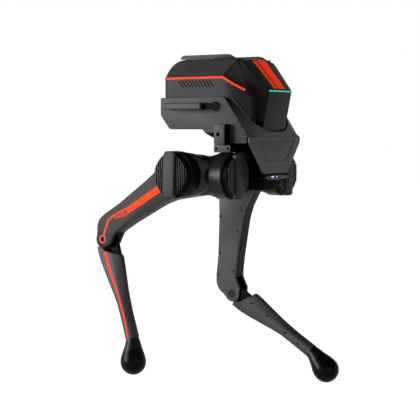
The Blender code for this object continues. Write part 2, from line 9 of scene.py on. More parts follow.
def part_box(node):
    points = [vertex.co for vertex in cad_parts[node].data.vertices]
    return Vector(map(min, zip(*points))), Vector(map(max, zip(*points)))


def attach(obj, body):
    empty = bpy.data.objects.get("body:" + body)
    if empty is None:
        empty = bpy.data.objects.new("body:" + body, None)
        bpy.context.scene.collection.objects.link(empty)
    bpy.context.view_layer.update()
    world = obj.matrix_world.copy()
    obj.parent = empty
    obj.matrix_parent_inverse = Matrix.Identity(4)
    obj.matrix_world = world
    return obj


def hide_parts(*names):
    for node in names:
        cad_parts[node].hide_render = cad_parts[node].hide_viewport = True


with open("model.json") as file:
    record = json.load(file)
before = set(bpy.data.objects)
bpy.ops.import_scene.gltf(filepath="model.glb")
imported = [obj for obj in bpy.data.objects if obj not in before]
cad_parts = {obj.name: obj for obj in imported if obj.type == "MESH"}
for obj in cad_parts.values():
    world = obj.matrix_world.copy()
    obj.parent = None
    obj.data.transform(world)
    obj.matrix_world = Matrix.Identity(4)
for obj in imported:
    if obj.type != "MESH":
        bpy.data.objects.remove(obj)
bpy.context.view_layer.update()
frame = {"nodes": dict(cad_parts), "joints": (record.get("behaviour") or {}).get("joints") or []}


def mm(value):
    """Millimetres to metres, through nested lists and tuples."""
    if isinstance(value, (list, tuple)):
        return type(value)(mm(item) for item in value)
    return round(value / 1000, 6)


# ---- places, from the frame
LEFT, RIGHT = 1, -1
SIDE_NAME = {LEFT: "left", RIGHT: "right"}
BOTH = (RIGHT, LEFT)
JOINTS = {joint["name"]: joint for joint in frame["joints"]}
CRANK_ANGLE = radians(196)     # knee lever's direction, counted from the shank's


def pivot(name):
    return Vector(JOINTS[name]["pos_m"])


def hinge_axis(name):
    return Vector(JOINTS[name]["axis"]).normalized()


def basis(origin, x_axis, y_axis, z_axis):
    place = Matrix((x_axis, y_axis, z_axis)).transposed().to_4x4()
    place.translation = origin
    return place


HIP = pivot("hip_roll_left")
LINK = (pivot("hip_pitch_left") - pivot("knee_left")).length
PITCH_X = pivot("hip_pitch_left").x - HIP.x
HIP_Y = HIP.y
BODY = Matrix.Translation((HIP.x, 0.0, HIP.z))
TRUNK = (BODY, "trunk", LEFT)


def trunk(side):
    return BODY, "trunk", side


def leg_frames(side):
    """Places of one leg's parts: y runs along its hinges, -z runs down the link."""
    name = SIDE_NAME[side]
    y_axis = hinge_axis("hip_pitch_" + name)
    forward = Vector((1.0, 0.0, 0.0))
    motor = Matrix.Translation((HIP.x, side * HIP_Y, HIP.z))
    link = basis(pivot("hip_roll_" + name), forward, y_axis, forward.cross(y_axis))
    hip, knee = pivot("hip_pitch_" + name), pivot("knee_" + name)
    up = (hip - knee).normalized()
    thigh = basis(hip, y_axis.cross(up), y_axis, up)
    lever = (pivot("push_rod_pivot_" + name) - pivot("knee_drive_" + name)).normalized()
    across = y_axis.cross(lever)
    lever_x, lever_z = sin(CRANK_ANGLE), -cos(CRANK_ANGLE)
    shank_x = lever_x * lever + lever_z * across
    shank_z = lever_z * lever - lever_x * across
    shank = basis(knee, shank_x, y_axis, shank_z)
    return {"motor": motor, "link": link, "thigh": thigh, "shank": shank}


LEGS = {side: leg_frames(side) for side in BOTH}

# ---- materials
def nodes_of(name):
    material = bpy.data.materials.new(name)
    material.use_nodes = True
    tree = material.node_tree
    return material, tree, tree.nodes["Principled BSDF"]


def add_node(tree, kind, **values):
    node = tree.nodes.new(kind)
    for key, value in values.items():
        if hasattr(node, key):
            setattr(node, key, value)
        else:
            node.inputs[key].default_value = value
    return node


def moulded(name, colour, roughness, specular=0.35, grain=0.05, grain_scale=2200.0, metallic=0.0,
        variation=0.1, emission=0.0):
    """Moulded or painted surface: fine grain, faint cloudiness in colour and in gloss."""
    material, tree, shader = nodes_of(name)
    link = tree.links.new
    shader.inputs["Metallic"].default_value = metallic
    shader.inputs["Specular IOR Level"].default_value = specular
    place = add_node(tree, "ShaderNodeTexCoord")
    cloud = add_node(tree, "ShaderNodeTexNoise", Scale=28.0, Detail=4.0, Roughness=0.6)
    link(place.outputs["Object"], cloud.inputs["Vector"])
    tint = add_node(tree, "ShaderNodeValToRGB")
    tint.color_ramp.elements[0].position = 0.3
    tint.color_ramp.elements[1].position = 0.7
    tint.color_ramp.elements[0].color = (*[c * (1 - variation) for c in colour], 1.0)
    tint.color_ramp.elements[1].color = (*[min(1.0, c * (1 + variation)) for c in colour], 1.0)
    link(cloud.outputs["Fac"], tint.inputs["Fac"])
    link(tint.outputs["Color"], shader.inputs["Base Color"])
    gloss = add_node(tree, "ShaderNodeMapRange")
    gloss.inputs["To Min"].default_value = roughness - 0.05
    gloss.inputs["To Max"].default_value = roughness + 0.05
    link(cloud.outputs["Fac"], gloss.inputs["Value"])
    link(gloss.outputs["Result"], shader.inputs["Roughness"])
    speckle = add_node(tree, "ShaderNodeTexNoise", Scale=grain_scale, Detail=2.0, Roughness=0.5)
    link(place.outputs["Object"], speckle.inputs["Vector"])
    bump = add_node(tree, "ShaderNodeBump", Strength=grain, Distance=0.00006)
    link(speckle.outputs["Fac"], bump.inputs["Height"])
    link(bump.outputs["Normal"], shader.inputs["Normal"])
    # Glow: the light bar's lamp and the bright floor; on the stripes and the lens glints it is painted light.
    if emission:
        shader.inputs["Emission Color"].default_value = (*colour, 1.0)
        shader.inputs["Emission Strength"].default_value = emission
    return material


def grey(name, level, blue, roughness, specular):
    return moulded(name, (level, level, blue), roughness, specular)


def fade_to_painted_shade(material, weights, black, full):
    """Painted shade: darken a surface's colour to black, by a weighted sum of x, distance from the middle,
    and z.
    """
    tree = material.node_tree
    shader = tree.nodes["Principled BSDF"]
    colour = shader.inputs["Base Color"].links[0].from_socket
    place = add_node(tree, "ShaderNodeTexCoord")
    split = add_node(tree, "ShaderNodeSeparateXYZ")
    tree.links.new(place.outputs["Object"], split.inputs["Vector"])
    aside = add_node(tree, "ShaderNodeMath", operation="ABSOLUTE")
    tree.links.new(split.outputs["Y"], aside.inputs[0])
    spot = add_node(tree, "ShaderNodeCombineXYZ")
    for source, axis in ((split.outputs["X"], "X"), (aside.outputs[0], "Y"), (split.outputs["Z"], "Z")):
        tree.links.new(source, spot.inputs[axis])
    level = add_node(tree, "ShaderNodeVectorMath", operation="DOT_PRODUCT")
    tree.links.new(spot.outputs["Vector"], level.inputs[0])
    level.inputs[1].default_value = weights
    share = add_node(tree, "ShaderNodeMapRange", interpolation_type="SMOOTHSTEP")
    share.inputs["From Min"].default_value = black
    share.inputs["From Max"].default_value = full
    tree.links.new(level.outputs["Value"], share.inputs["Value"])
    blend = add_node(tree, "ShaderNodeMix", data_type="RGBA")
    tree.links.new(share.outputs["Result"], blend.inputs[0])
    # near-black colour that the painted shade fades to
    blend.inputs[6].default_value = (0.0012, 0.0012, 0.0014, 1.0)
    tree.links.new(colour, blend.inputs[7])
    tree.links.new(blend.outputs[2], shader.inputs["Base Color"])
    return material


SIDE_GREY = grey("side_grey", 0.0068, 0.007, 0.5, 0.06)
PLATE_GREY = grey("plate_grey", 0.0102, 0.0104, 0.5, 0.09)
THIGH_GREY = grey("thigh_grey", 0.0058, 0.006, 0.48, 0.055)
COVER_GREY = grey("thigh_cover_grey", 0.0225, 0.023, 0.5, 0.2)
SHELL_GREY = grey("shell_grey", 0.015, 0.0154, 0.5, 0.14)
# Darker grey: painted shade on the shell's faces above the crease; the handle grip also uses it.
GRIP_GREY_AND_UPPER_SHADE = grey("grip_grey_and_upper_shade", 0.014, 0.0144, 0.52, 0.1)
CHEST_GREY = grey("chest_grey", 0.034, 0.0346, 0.5, 0.12)
# Collar grey darkening to black towards the top: painted shade where the collar turns up under the shell.
COLLAR_PAINTED_SHADE = fade_to_painted_shade(grey("collar_painted_shade", 0.031, 0.0316, 0.5, 0.09), (0.0, 0.0, 1.0), HIP.z + 0.172, HIP.z + 0.106)
# Light grey for the bead along the collar's rim: a painted highlight on its edge.
RIM_PAINTED_HIGHLIGHT = grey("rim_painted_highlight", 0.062, 0.063, 0.4, 0.3)
# Darker copy of the head black for the column's side faces: painted shade.
HEAD_SIDE_PAINTED_SHADE = grey("head_side_painted_shade", 0.0036, 0.0038, 0.5, 0.035)
HEAD_BLACK = grey("head_black", 0.0085, 0.009, 0.45, 0.07)
TRIM_GREY = grey("trim_grey", 0.0105, 0.0108, 0.45, 0.085)
# Near-black painted shade for recesses.
RECESS_PAINTED_SHADE = grey("recess_painted_shade", 0.0022, 0.0024, 0.55, 0.03)
# Shell grey darkening to black towards the head column: painted shade in the sunken front.
FRONT_FACET_PAINTED_SHADE = fade_to_painted_shade(grey("sunken_front_painted_shade", 0.017, 0.0175, 0.52, 0.09), (1.0, -0.93, 0.0), HIP.x + 0.004,
    HIP.x - 0.04)
# Near-black: the own colour of black parts, and painted shade on cut faces of slots, bores and the thigh's
# cavity, on the tray and on the hip blocks' ends.
BLACK_AND_PAINTED_SHADE = grey("black_and_painted_shade", 0.0006, 0.0007, 0.6, 0.015)
MOTOR_BLACK = grey("motor_black", 0.001, 0.0012, 0.4, 0.035)
MOTOR_GREY = grey("motor_grey", 0.005, 0.0053, 0.36, 0.095)
# Lighter copy of the motor grey for the hip neck: painted light falling on it.
NECK_PAINTED_LIGHT = grey("neck_painted_light", 0.014, 0.0145, 0.4, 0.15)
BAND_GREY = grey("band_grey", 0.0064, 0.0066, 0.46, 0.062)
# Lighter copy of the band grey for the roll motor's band: painted light.
ROLL_BAND_PAINTED_LIGHT = grey("roll_band_painted_light", 0.0095, 0.01, 0.42, 0.09)
FIN_GREY = grey("fin_grey", 0.006, 0.0064, 0.42, 0.08)
# Lighter copy of the fin grey for the roll motor's fins: painted light.
ROLL_FIN_PAINTED_LIGHT = grey("roll_fin_painted_light", 0.019, 0.0195, 0.42, 0.16)
ANKLE_BLACK = grey("ankle_black", 0.0022, 0.0025, 0.36, 0.07)
RUBBER = moulded("foot_rubber", (0.0006, 0.0006, 0.0008), 0.32, specular=0.045, grain=0.3, grain_scale=1500.0)
# The stripes glow though they are no lamp: painted light that keeps them bright orange.
ORANGE_PAINTED_GLOW = moulded("orange_stripe", (0.4, 0.0185, 0.0012), 0.55, specular=0.02, grain=0.05, variation=0.03,
    emission=1.05)
STEEL = moulded("machined_steel", (0.06, 0.06, 0.063), 0.32, metallic=1.0, grain=0.1)
SCREW = grey("black_screw", 0.0008, 0.001, 0.35, 0.12)
CYAN = moulded("light_bar", (0.012, 0.23, 0.21), 0.4, specular=0.03, grain=0.0, variation=0.02, emission=1.4)
GLASS = moulded("lens_window", (0.0012, 0.0012, 0.003), 0.08, specular=0.22, grain=0.0, variation=0.0)
# Glowing blue-white spots on the lens: painted highlights.
LENS_PAINTED_GLINT = moulded("lens_painted_glint", (0.3, 0.33, 0.72), 0.12, specular=0.5, grain=0.0, emission=1.1)
BOARD = moulded("circuit_board", (0.01, 0.09, 0.045), 0.45)

# ---- mesh tools
# Side pieces are drawn for the left side, with y outward; right ones are mirrored into place.


def add_object(name, data):
    obj = bpy.data.objects.new(name, data)
    bpy.context.scene.collection.objects.link(obj)
    return obj


def to_mesh(form, name, material=None):
    bmesh.ops.recalc_face_normals(form, faces=form.faces)
    mesh = bpy.data.meshes.new(name)
    form.to_mesh(mesh)
    form.free()
    if material:
        mesh.materials.append(material)
    return mesh


def piece(shape, name, material, mount, stands_for=(), smooth=28.0):
    """Turn a bmesh or mesh into a finished piece: placed, shaded, painted and riding on its body.

    The mount is (place, body, side). A name that ends in _ gets the side's name.
    """
    place, body, side = mount

    def sided(text):
        return text + SIDE_NAME[side] if text.endswith("_") else text

    mesh = to_mesh(shape, sided(name)) if isinstance(shape, bmesh.types.BMesh) else shape
    mesh.transform(place @ Matrix.Diagonal((1.0, side, 1.0, 1.0)))
    if side == RIGHT:
        mesh.flip_normals()
    if not mesh.materials:
        mesh.materials.append(material)
    mesh.shade_smooth()
    mesh.set_sharp_from_angle(angle=radians(smooth))
    obj = add_object(sided(name), mesh)
    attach(obj, body)
    if stands_for:
        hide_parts(*[sided(node) for node in stands_for])


def baked(form, *steps, material=None):
    """Apply bevel, boolean and other modifiers to a bmesh and hand back a plain mesh.

    Each step is a function that adds one modifier to the object it is given.
    """
    work = add_object("work", to_mesh(form, "work", material))
    tools = [tool for step in steps for tool in [step(work)] if tool]
    bpy.context.view_layer.update()
    graph = bpy.context.evaluated_depsgraph_get()
    result = bpy.data.meshes.new_from_object(work.evaluated_get(graph))
    for item in [work, *tools]:
        bpy.data.objects.remove(item)
    return result


def bevel(width, segments=3, angle=30.0):
    def step(work):
        modifier = work.modifiers.new("Bevel", "BEVEL")
        modifier.width = width
        modifier.segments = segments
        modifier.limit_method = "ANGLE"
        modifier.angle_limit = radians(angle)
        modifier.use_clamp_overlap = True
    return step


def boolean(form, material=None):
    """Cut the form away; a material paints the cut's faces."""
    mesh = to_mesh(form, "tool", material)

    def step(work):
        tool = add_object("tool", mesh)
        modifier = work.modifiers.new("Boolean", "BOOLEAN")
        modifier.operation = "DIFFERENCE"
        modifier.solver = "EXACT"
        modifier.object = tool
        if material:
            modifier.material_mode = "TRANSFER"
        return tool
    return step


def slab(plane, outline, low, high, into=None):
    """Flat outline with thickness from low to high, square to its plane, as a bmesh."""
    form = into or bmesh.new()
    order = {"XZ": lambda a, b, c: (a, c, b), "YZ": lambda a, b, c: (c, a, b), "XY": lambda a, b,
        c: (a, b, c)}
    spot = order[plane]
    rings = [[form.verts.new(spot(a, b, level)) for a, b in outline] for level in (low, high)]
    form.faces.new(rings[0])
    form.faces.new(rings[1][::-1])
    for index in range(len(outline)):
        nxt = (index + 1) % len(outline)
        form.faces.new((rings[0][index], rings[1][index], rings[1][nxt], rings[0][nxt]))
    return form


def block(low, high, into=None):
    (x0, y0, z0), (x1, y1, z1) = low, high
    return slab("XY", [(x0, y0), (x1, y0), (x1, y1), (x0, y1)], z0, z1, into)


def circle(centre, radius, steps=64):
    return [(centre[0] + radius * cos(tau * i / steps), centre[1] + radius * sin(tau * i / steps)) for i
            in range(steps)]


def arc(centre, radius, start, end, steps):
    angles = [radians(start + (end - start) * i / steps) for i in range(steps + 1)]
    return [(centre[0] + radius * cos(a), centre[1] + radius * sin(a)) for a in angles]


def rounded(outline, radius, steps=5):
    """The outline with each corner replaced by a short curve."""
    result = []
    for index, corner in enumerate(outline):
        corner = Vector(corner)
        back = Vector(outline[index - 1]) - corner
        ahead = Vector(outline[(index + 1) % len(outline)]) - corner
        reach = min(radius, back.length * 0.45, ahead.length * 0.45)
        start, end = corner + back.normalized() * reach, corner + ahead.normalized() * reach
        for step in range(steps + 1):
            share = step / steps
            result.append(tuple(start.lerp(corner, share).lerp(corner.lerp(end, share), share)))
    return result


def turned(profile, axis, centre=(0.0, 0.0), steps=96, into=None):
    """Round solid: profile of (radius, position on the axis), closed on the axis at both ends."""
    form = into or bmesh.new()
    spot = {"X": lambda a, b, c: (c, a, b), "Y": lambda a, b, c: (a, c, b), "Z": lambda a, b,
            c: (a, b, c)}[axis]
    rings = []
    for radius, along in profile:
        spots = circle(centre, radius, steps) if radius > 0.0 else [centre]
        rings.append([form.verts.new(spot(a, b, along)) for a, b in spots])
    for first, second in zip(rings, rings[1:]):
        for i in range(steps):
            j = (i + 1) % steps
            if len(first) == 1 and len(second) == 1:
                continue
            if len(first) == 1:
                form.faces.new((first[0], second[i], second[j]))
            elif len(second) == 1:
                form.faces.new((first[i], first[j], second[0]))
            else:
                form.faces.new((first[i], first[j], second[j], second[i]))
    return form


def loft(sections, into=None):
    """Closed skin over sections that all have the same number of points."""
    form = into or bmesh.new()
    rows = [[form.verts.new(point) for point in section] for section in sections]
    count = len(rows[0])
    for first, second in zip(rows, rows[1:]):
        for i in range(count):
            j = (i + 1) % count
            form.faces.new((first[i], first[j], second[j], second[i]))
    form.faces.new(rows[0][::-1])
    form.faces.new(rows[-1])
    return form


def hull(points):
    form = bmesh.new()
    for point in points:
        form.verts.new(point)
    made = bmesh.ops.convex_hull(form, input=form.verts)
    loose = {item for item in made["geom_interior"] + made["geom_unused"] if isinstance(item,
        bmesh.types.BMVert)}
    bmesh.ops.delete(form, geom=list(loose), context="VERTS")
    bmesh.ops.dissolve_limit(form, angle_limit=radians(1.0), verts=form.verts, edges=form.edges)
    return form


def between(table, value):
    """Straight-line reading of a table of (key, number) pairs."""
    for (low, first), (high, second) in zip(table, table[1:]):
        if value <= high:
            share = (value - low) / (high - low)
            return first + (second - first) * max(0.0, min(1.0, share))
    return table[-1][1]


# ---- trunk sizes
PLATE_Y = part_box("side_plate_left")[1].y
SHELL_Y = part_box("upper_shell")[1].y
HEAD_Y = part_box("head_housing")[1].y
SHELL_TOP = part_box("upper_shell")[1].z - HIP.z
CREASE_Z = 0.2235
BOX_TOP, BOX_BOTTOM, BELLY = 0.177, 0.1045, 0.0736
CHEST_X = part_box("chest_cover")[1].x - HIP.x
SIDE_PLATE = [(-0.18, 0.1365), (-0.18, BOX_TOP), (-0.001, BOX_TOP), (0.0584, 0.089), (0.0598, BELLY),
    (-0.012, BELLY), (-0.018, 0.0964), (-0.0556, 0.0964), (-0.06, BOX_BOTTOM), (-0.154, BOX_BOTTOM)]

# Upper shell, by height: half width, rear end, front corner of the side, and where its
# sunken front meets the head column.
SIDE_WIDTH = [(0.09, SHELL_Y), (CREASE_Z, SHELL_Y), (0.26, 0.0745), (0.2635, 0.071), (SHELL_TOP, 0.066)]
REAR_END = [(0.09, -0.1755), (0.176, -0.1755), (0.178, -0.183), (CREASE_Z, -0.183), (0.24, -0.1815),
    (0.25, -0.1775), (0.258, -0.1705), (0.263, -0.161), (SHELL_TOP, -0.15)]
FRONT_CORNER = [(0.09, 0.0515), (0.177, 0.05), (0.184, 0.0445), (0.194, 0.0375), (CREASE_Z, -0.011),
    (0.26, 0.0085), (SHELL_TOP, 0.011)]
SUNK_FRONT = [(0.09, 0.0455), (0.177, 0.056), (0.19, 0.0555), (0.2235, 0.034), (0.25, 0.014),
    (SHELL_TOP, 0.006)]
HEAD_HALF = [(0.09, HEAD_Y), (0.1935, HEAD_Y), (0.249, 0.066), (0.27, 0.066)]
TURN_IN, TURN_LENGTH, TURN_DEPTH = -0.002, 0.052, 0.0236     # where the side curves in to the front


def side_y(wide, x):
    """Half width of the shell at x: straight along the side, then curving in to the front corner."""
    return wide - TURN_DEPTH * max(0.0, (x - TURN_IN) / TURN_LENGTH) ** 1.7


def shell_section(height):
    """Half outline of the upper shell at one height, from the rear middle to the head column."""
    wide = between(SIDE_WIDTH, height)
    rear = between(REAR_END, height)
    corner_x = between(FRONT_CORNER, height)
    sunk = between(SUNK_FRONT, height)
    inner = between(HEAD_HALF, height) - 0.004
    rear_round, nose = 0.022, 0.0022
    points = [(rear, share * (wide - rear_round)) for share in (0.0, 0.34, 0.67)]
    points += [(x, y) for x, y in reversed(arc((rear + rear_round, wide - rear_round), rear_round, 90, 180,
        8))]
    start, end = rear + rear_round, corner_x - nose
    for i in range(1, 25):
        x = start + (end - start) * i / 24
        points.append((x, side_y(wide, x)))
    tip, meet = Vector((corner_x, side_y(wide, corner_x))), Vector((sunk, inner))
    before = Vector(points[-1])
    reach = tip.y - inner
    bend = Vector((min(corner_x, sunk) - 0.35 * reach, inner + 0.55 * reach))
    after = tip + (bend - tip).normalized() * nose
    for step in range(1, 6):
        share = step / 5
        points.append(tuple(before.lerp(tip, share).lerp(tip.lerp(after, share), share)))
    for step in range(1, 13):
        share = step / 12
        points.append(tuple(after.lerp(bend, share).lerp(bend.lerp(meet, share), share)))
    points += [(sunk, inner * share) for share in (0.6, 0.2, 0.0)]
    return points


def make_upper_shell():
    heights = [0.092, 0.105, 0.1196, 0.135, 0.15, 0.165, 0.1755, 0.177, 0.1785, 0.183, 0.189, 0.195, 0.202,
        0.209, 0.216, 0.2225, CREASE_Z, 0.2245, 0.23, 0.236, 0.242, 0.247, 0.252, 0.256, 0.2595, 0.262,
        0.2637, 0.2646, SHELL_TOP]
    sections = []
    for height in heights:
        half = shell_section(height)
        far = [(x, -y, height) for x, y in half[1:-1]]
        near = [(x, y, height) for x, y in half]
        sections.append(near + far[::-1])
    form = loft(sections)
    slots = bmesh.new()
    count, lean = 10, 0.0125
    low, high = 0.2005, 0.2155
    for side in BOTH:
        for index in range(count):
            top = -0.135 + 0.0855 * index / (count - 1)
            width = 0.003
            outline = [(top, high), (top + width, high), (top + width + lean, low), (top + lean, low)]
            ends = sorted((side * (SHELL_Y - 0.0022), side * (SHELL_Y + 0.004)))
            slab("XZ", outline, *ends, into=slots)
    under = slab("XZ", mm([(-300, 30), (-300, 170), (-12, 170), (48, 86), (200, 30)]), -0.15, 0.15)
    # The slots' cut faces are painted near-black: painted shade inside the slots.
    mesh = baked(form, boolean(under), boolean(slots, material=BLACK_AND_PAINTED_SHADE), material=SIDE_GREY)
    paint_shade_on_upper_shell(mesh)
    piece(mesh, "upper_shell_skin", SIDE_GREY, TRUNK, ["upper_shell"], smooth=22)


def paint_shade_on_upper_shell(mesh):
    """Painted shade: faces leaning in above the crease get a darker grey, and the sunken front fades to
    black.
    """
    for material in (GRIP_GREY_AND_UPPER_SHADE, FRONT_FACET_PAINTED_SHADE):
        mesh.materials.append(material)
    front = len(mesh.materials) - 1
    for face in mesh.polygons:
        if face.material_index:
            continue
        height = face.center.z
        corner = between(FRONT_CORNER, height)
        past_corner = abs(face.center.y) < side_y(between(SIDE_WIDTH, height), corner) - 0.0006
        if face.center.x > corner - 0.03 and past_corner and height < SHELL_TOP - 0.0005:
            face.material_index = front
        # faces above the crease: painted shade in a darker grey
        elif height > CREASE_Z:
            face.material_index = front - 1


def make_shell_stripes():
    """Line along the crease that drops to the front corner, following the side's curve."""
    wide, rear, bend, tip = 0.0042, -0.1675, -0.0105, (0.0395, 0.1935)
    proud, sunk, rise = 0.0004, -0.0008, 0.0006
    top = CREASE_Z - 0.0002
    ends = [(rear, top, top - wide), (bend, top, top - wide)]
    for step in range(1, 11):
        share = step / 10
        level = top + (tip[1] - top) * share + rise
        ends.append((bend + (tip[0] - bend) * share, level, level - wide))
    sections = []
    for x, high, low in ends:
        lag = 0.0012 if x == rear else 0.0016
        sections.append([(at, side_y(SHELL_Y, at) + lift, z) for at, z,
            lift in ((x, high, proud), (x - lag, low, proud), (x - lag, low, sunk), (x, high, sunk))])
    for side in BOTH:
        piece(loft(sections), "shell_stripe_", ORANGE_PAINTED_GLOW, trunk(side))


def make_side_plates():
    for side in BOTH:
        form = slab("XZ", rounded(SIDE_PLATE, 0.006), PLATE_Y - 0.003, PLATE_Y)
        mesh = baked(form, bevel(0.0011, 3))
        piece(mesh, "side_plate_skin_", PLATE_GREY, trunk(side), ["side_plate_"])


def make_belly():
    pan = mm([(-58.5, 107), (-54, 94.5), (-27, 82), (-10, 74.2), (54, 74.2), (54, 93), (44, 107)])
    wide = PLATE_Y - 0.0033
    piece(baked(slab("XZ", pan, -wide, wide), bevel(0.002, 3)), "belly_pan_skin", BLACK_AND_PAINTED_SHADE, TRUNK,
          ["belly_pan"])
    tray = mm([(-177, 138.5), (-177, 176.5), (0, 176.5), (0, 107.5), (-152.5, 107.5)])
    ribs = bmesh.new()
    for index in range(7):
        x = -0.14 + 0.012 * index
        block((x, -0.07, 0.1), (x + 0.004, 0.07, 0.1095), into=ribs)
    for level in (0.1505, 0.1635):
        block((-0.185, -0.055, level), (-0.1745, 0.055, level + 0.004), into=ribs)
    # The tray is near-black so that its top, a ledge between the side plates and the shell, shows as a dark
    # line: painted shade.
    piece(baked(slab("XZ", tray, -wide, wide), bevel(0.003, 3), boolean(ribs)), "tray_skin", BLACK_AND_PAINTED_SHADE,
          TRUNK, ["chassis_tray", "battery_pack"])


def make_rear_panel():
    outline = rounded(mm([(-70, 142), (70, 142), (70, 172), (-70, 172)]), 0.006)
    ports = bmesh.new()
    for y, wide, tall in mm(((-48, 11, 10), (-20, 9, 4), (6, 9, 4))):
        slab("YZ", rounded([(y - wide, 0.157 - tall), (y + wide, 0.157 - tall), (y + wide, 0.157 + tall),
            (y - wide, 0.157 + tall)], 0.003), -0.19, -0.1795, into=ports)
    mesh = baked(slab("YZ", outline, -0.1829, -0.1773), bevel(0.0012, 3), boolean(ports, material=BLACK_AND_PAINTED_SHADE),
        material=HEAD_BLACK)
    piece(mesh, "rear_panel_skin", HEAD_BLACK, TRUNK, ["rear_panel"])
    button = turned(mm([(0, -183.2), (6.2, -183.2), (7, -182.6), (7, -180), (0, -180)]), "X", (0.042, 0.157),
        48)
    piece(button, "rear_button", SHELL_GREY, TRUNK)


def make_rails():
    rail = mm([(-153.5, 265.5), (-145, 274.5), (-18, 274.5), (0, 265.5)])
    for side in BOTH:
        name = SIDE_NAME[side]
        mesh = baked(slab("XZ", rounded(rail, 0.004), 0.0605, 0.069), bevel(0.0016, 3))
        piece(mesh, "rail_skin_", HEAD_BLACK, trunk(side), ["top_rail_"])
        for index, x in enumerate((-0.14, -0.085, -0.03)):
            screw_head(f"rail_screw_{name}_{index}", (x, 0.06475, 0.2745), "Z", 0.0024, trunk(side))


def screw_head(name, spot, axis, radius, mount, proud=0.0002):
    """Small socket screw, its head in a shallow counterbore: a dark ring with a dished middle."""
    spots = {"X": (spot[1], spot[2], spot[0]), "Y": (spot[0], spot[2], spot[1]),
        "Z": (spot[0], spot[1], spot[2])}
    first, second, level = spots[axis]
    profile = [(0.0, level - 0.0025), (radius, level - 0.0025), (radius, level + proud * 0.4),
        (radius * 0.86, level + proud), (radius * 0.55, level + proud), (radius * 0.5, level - 0.0009),
        (0.0, level - 0.0009)]
    return piece(turned(profile, axis, (first, second), 28), name, SCREW, mount)


def make_handles():
    outline = mm([(-150, 141.5), (-58, 141.5), (-22, 120), (-12, 109), (-36, 109), (-60, 128.5),
        (-133, 128.5), (-135, 109), (-148, 109), (-150, 122)])
    for side in BOTH:
        name = SIDE_NAME[side]
        mesh = baked(slab("XY", rounded(outline, 0.01, 8), 0.1497, 0.1633), bevel(0.003, 4))
        piece(mesh, "handle_skin_", FIN_GREY, trunk(side), ["handle_"])
        grip = rounded(mm([(-150.8, 128), (-44, 128), (-44, 142.1), (-150.8, 142.1)]), 0.003)
        piece(baked(slab("XY", grip, 0.1492, 0.1638), bevel(0.003, 4)), "handle_grip_", GRIP_GREY_AND_UPPER_SHADE,
              trunk(side))
        notch = rounded(mm([(-44.5, 127.5), (-38.5, 127.5), (-38.5, 140.5), (-44.5, 140.5)]), 0.001)
        piece(baked(slab("XY", notch, 0.1494, 0.1636), bevel(0.0006, 2)), "handle_notch_", BLACK_AND_PAINTED_SHADE,
              trunk(side))
        for index, (x, radius) in enumerate(((-0.1415, 0.0092), (-0.024, 0.0105))):
            boss = turned([(0.0, 0.108), (radius, 0.108), (radius, 0.1092), (radius - 0.001, 0.1102),
                (0.0, 0.1102)], "Y", (x, 0.1565), 56)
            piece(boss, f"handle_boss_{name}_{index}", BLACK_AND_PAINTED_SHADE, trunk(side))


# ---- head and chest
HEAD_TOP_Y = 0.066                 # half width of the slanted face at its top
HEAD_LOW, HEAD_HIGH = Vector((0.0788, 0.194)), Vector((0.0186, 0.2628))      # slanted face, x and z


def crown_drop(y, half):
    """How far the slanted face has fallen away from its middle line."""
    return 0.0048 * abs(y / half) ** 2.4


def make_head():
    """Column with a slanted, slightly crowned face that widens towards the top."""
    points = []
    for share in (-1.0, -0.8, -0.55, -0.3, 0.0, 0.3, 0.55, 0.8, 1.0):
        low_y, high_y = HEAD_Y * share, HEAD_TOP_Y * share
        fall = crown_drop(share, 1.0)
        points += [(HEAD_LOW.x, low_y, HEAD_LOW.y - 0.0005), (HEAD_LOW.x, low_y, 0.187), (0.06, low_y, 0.095),
            (0.03, low_y, 0.095), (0.027, high_y, 0.2536 - fall), (HEAD_HIGH.x, high_y, 0.2628 - fall),
            (0.008, high_y, 0.2658 - fall), (-0.004, high_y, 0.2655 - fall), (-0.004, low_y, 0.2)]
    mesh = baked(hull(points), bevel(0.0014, 3, 20))
    mesh.materials.append(HEAD_BLACK)
    mesh.materials.append(HEAD_SIDE_PAINTED_SHADE)
    # Faces turned sideways take the darker copy: painted shade on the column's sides.
    for face in mesh.polygons:
        face.material_index = 1 if abs(face.normal.y) > 0.5 else 0
    piece(mesh, "head_skin", HEAD_BLACK, TRUNK, ["head_housing"], smooth=24)
    lamp = slab("XZ", rounded(mm([(77, 189), (80, 189), (80, 192.2), (77, 192.2)]), 0.001), -HEAD_Y + 0.0006,
        HEAD_Y + 0.0003)
    piece(lamp, "light_bar_skin", CYAN, TRUNK, ["head_light_bar"])
    for label, low, high in (("edge", -1.0, -0.64), ("pin", -0.47, -0.36), ("wide", -0.2, 1.0)):
        make_head_stripe(label, low, high)


def make_head_stripe(label, low, high):
    """Stripe lying on the slanted face; low and high are shares of the stripe group's half width."""
    slope = (HEAD_HIGH - HEAD_LOW).normalized()
    normal = Vector((abs(slope.y), abs(slope.x)))
    proud, sunk = 0.0006, -0.0016
    sections = []
    for step in range(9):
        along = 0.03 + 0.955 * step / 8
        spot = HEAD_LOW.lerp(HEAD_HIGH, along)
        half, face_half = 0.023 + 0.004 * along, HEAD_Y + (HEAD_TOP_Y - HEAD_Y) * along
        ring = []
        for depth, order in ((proud, (0, 1, 2, 3, 4)), (sunk, (4, 3, 2, 1, 0))):
            for i in order:
                y = half * (low + (high - low) * i / 4)
                lift = depth - crown_drop(y, face_half) * 0.72
                ring.append((spot.x + normal.x * lift, y, spot.y + normal.y * lift))
        sections.append(ring)
    piece(loft(sections), "head_stripe_" + label, ORANGE_PAINTED_GLOW, TRUNK)


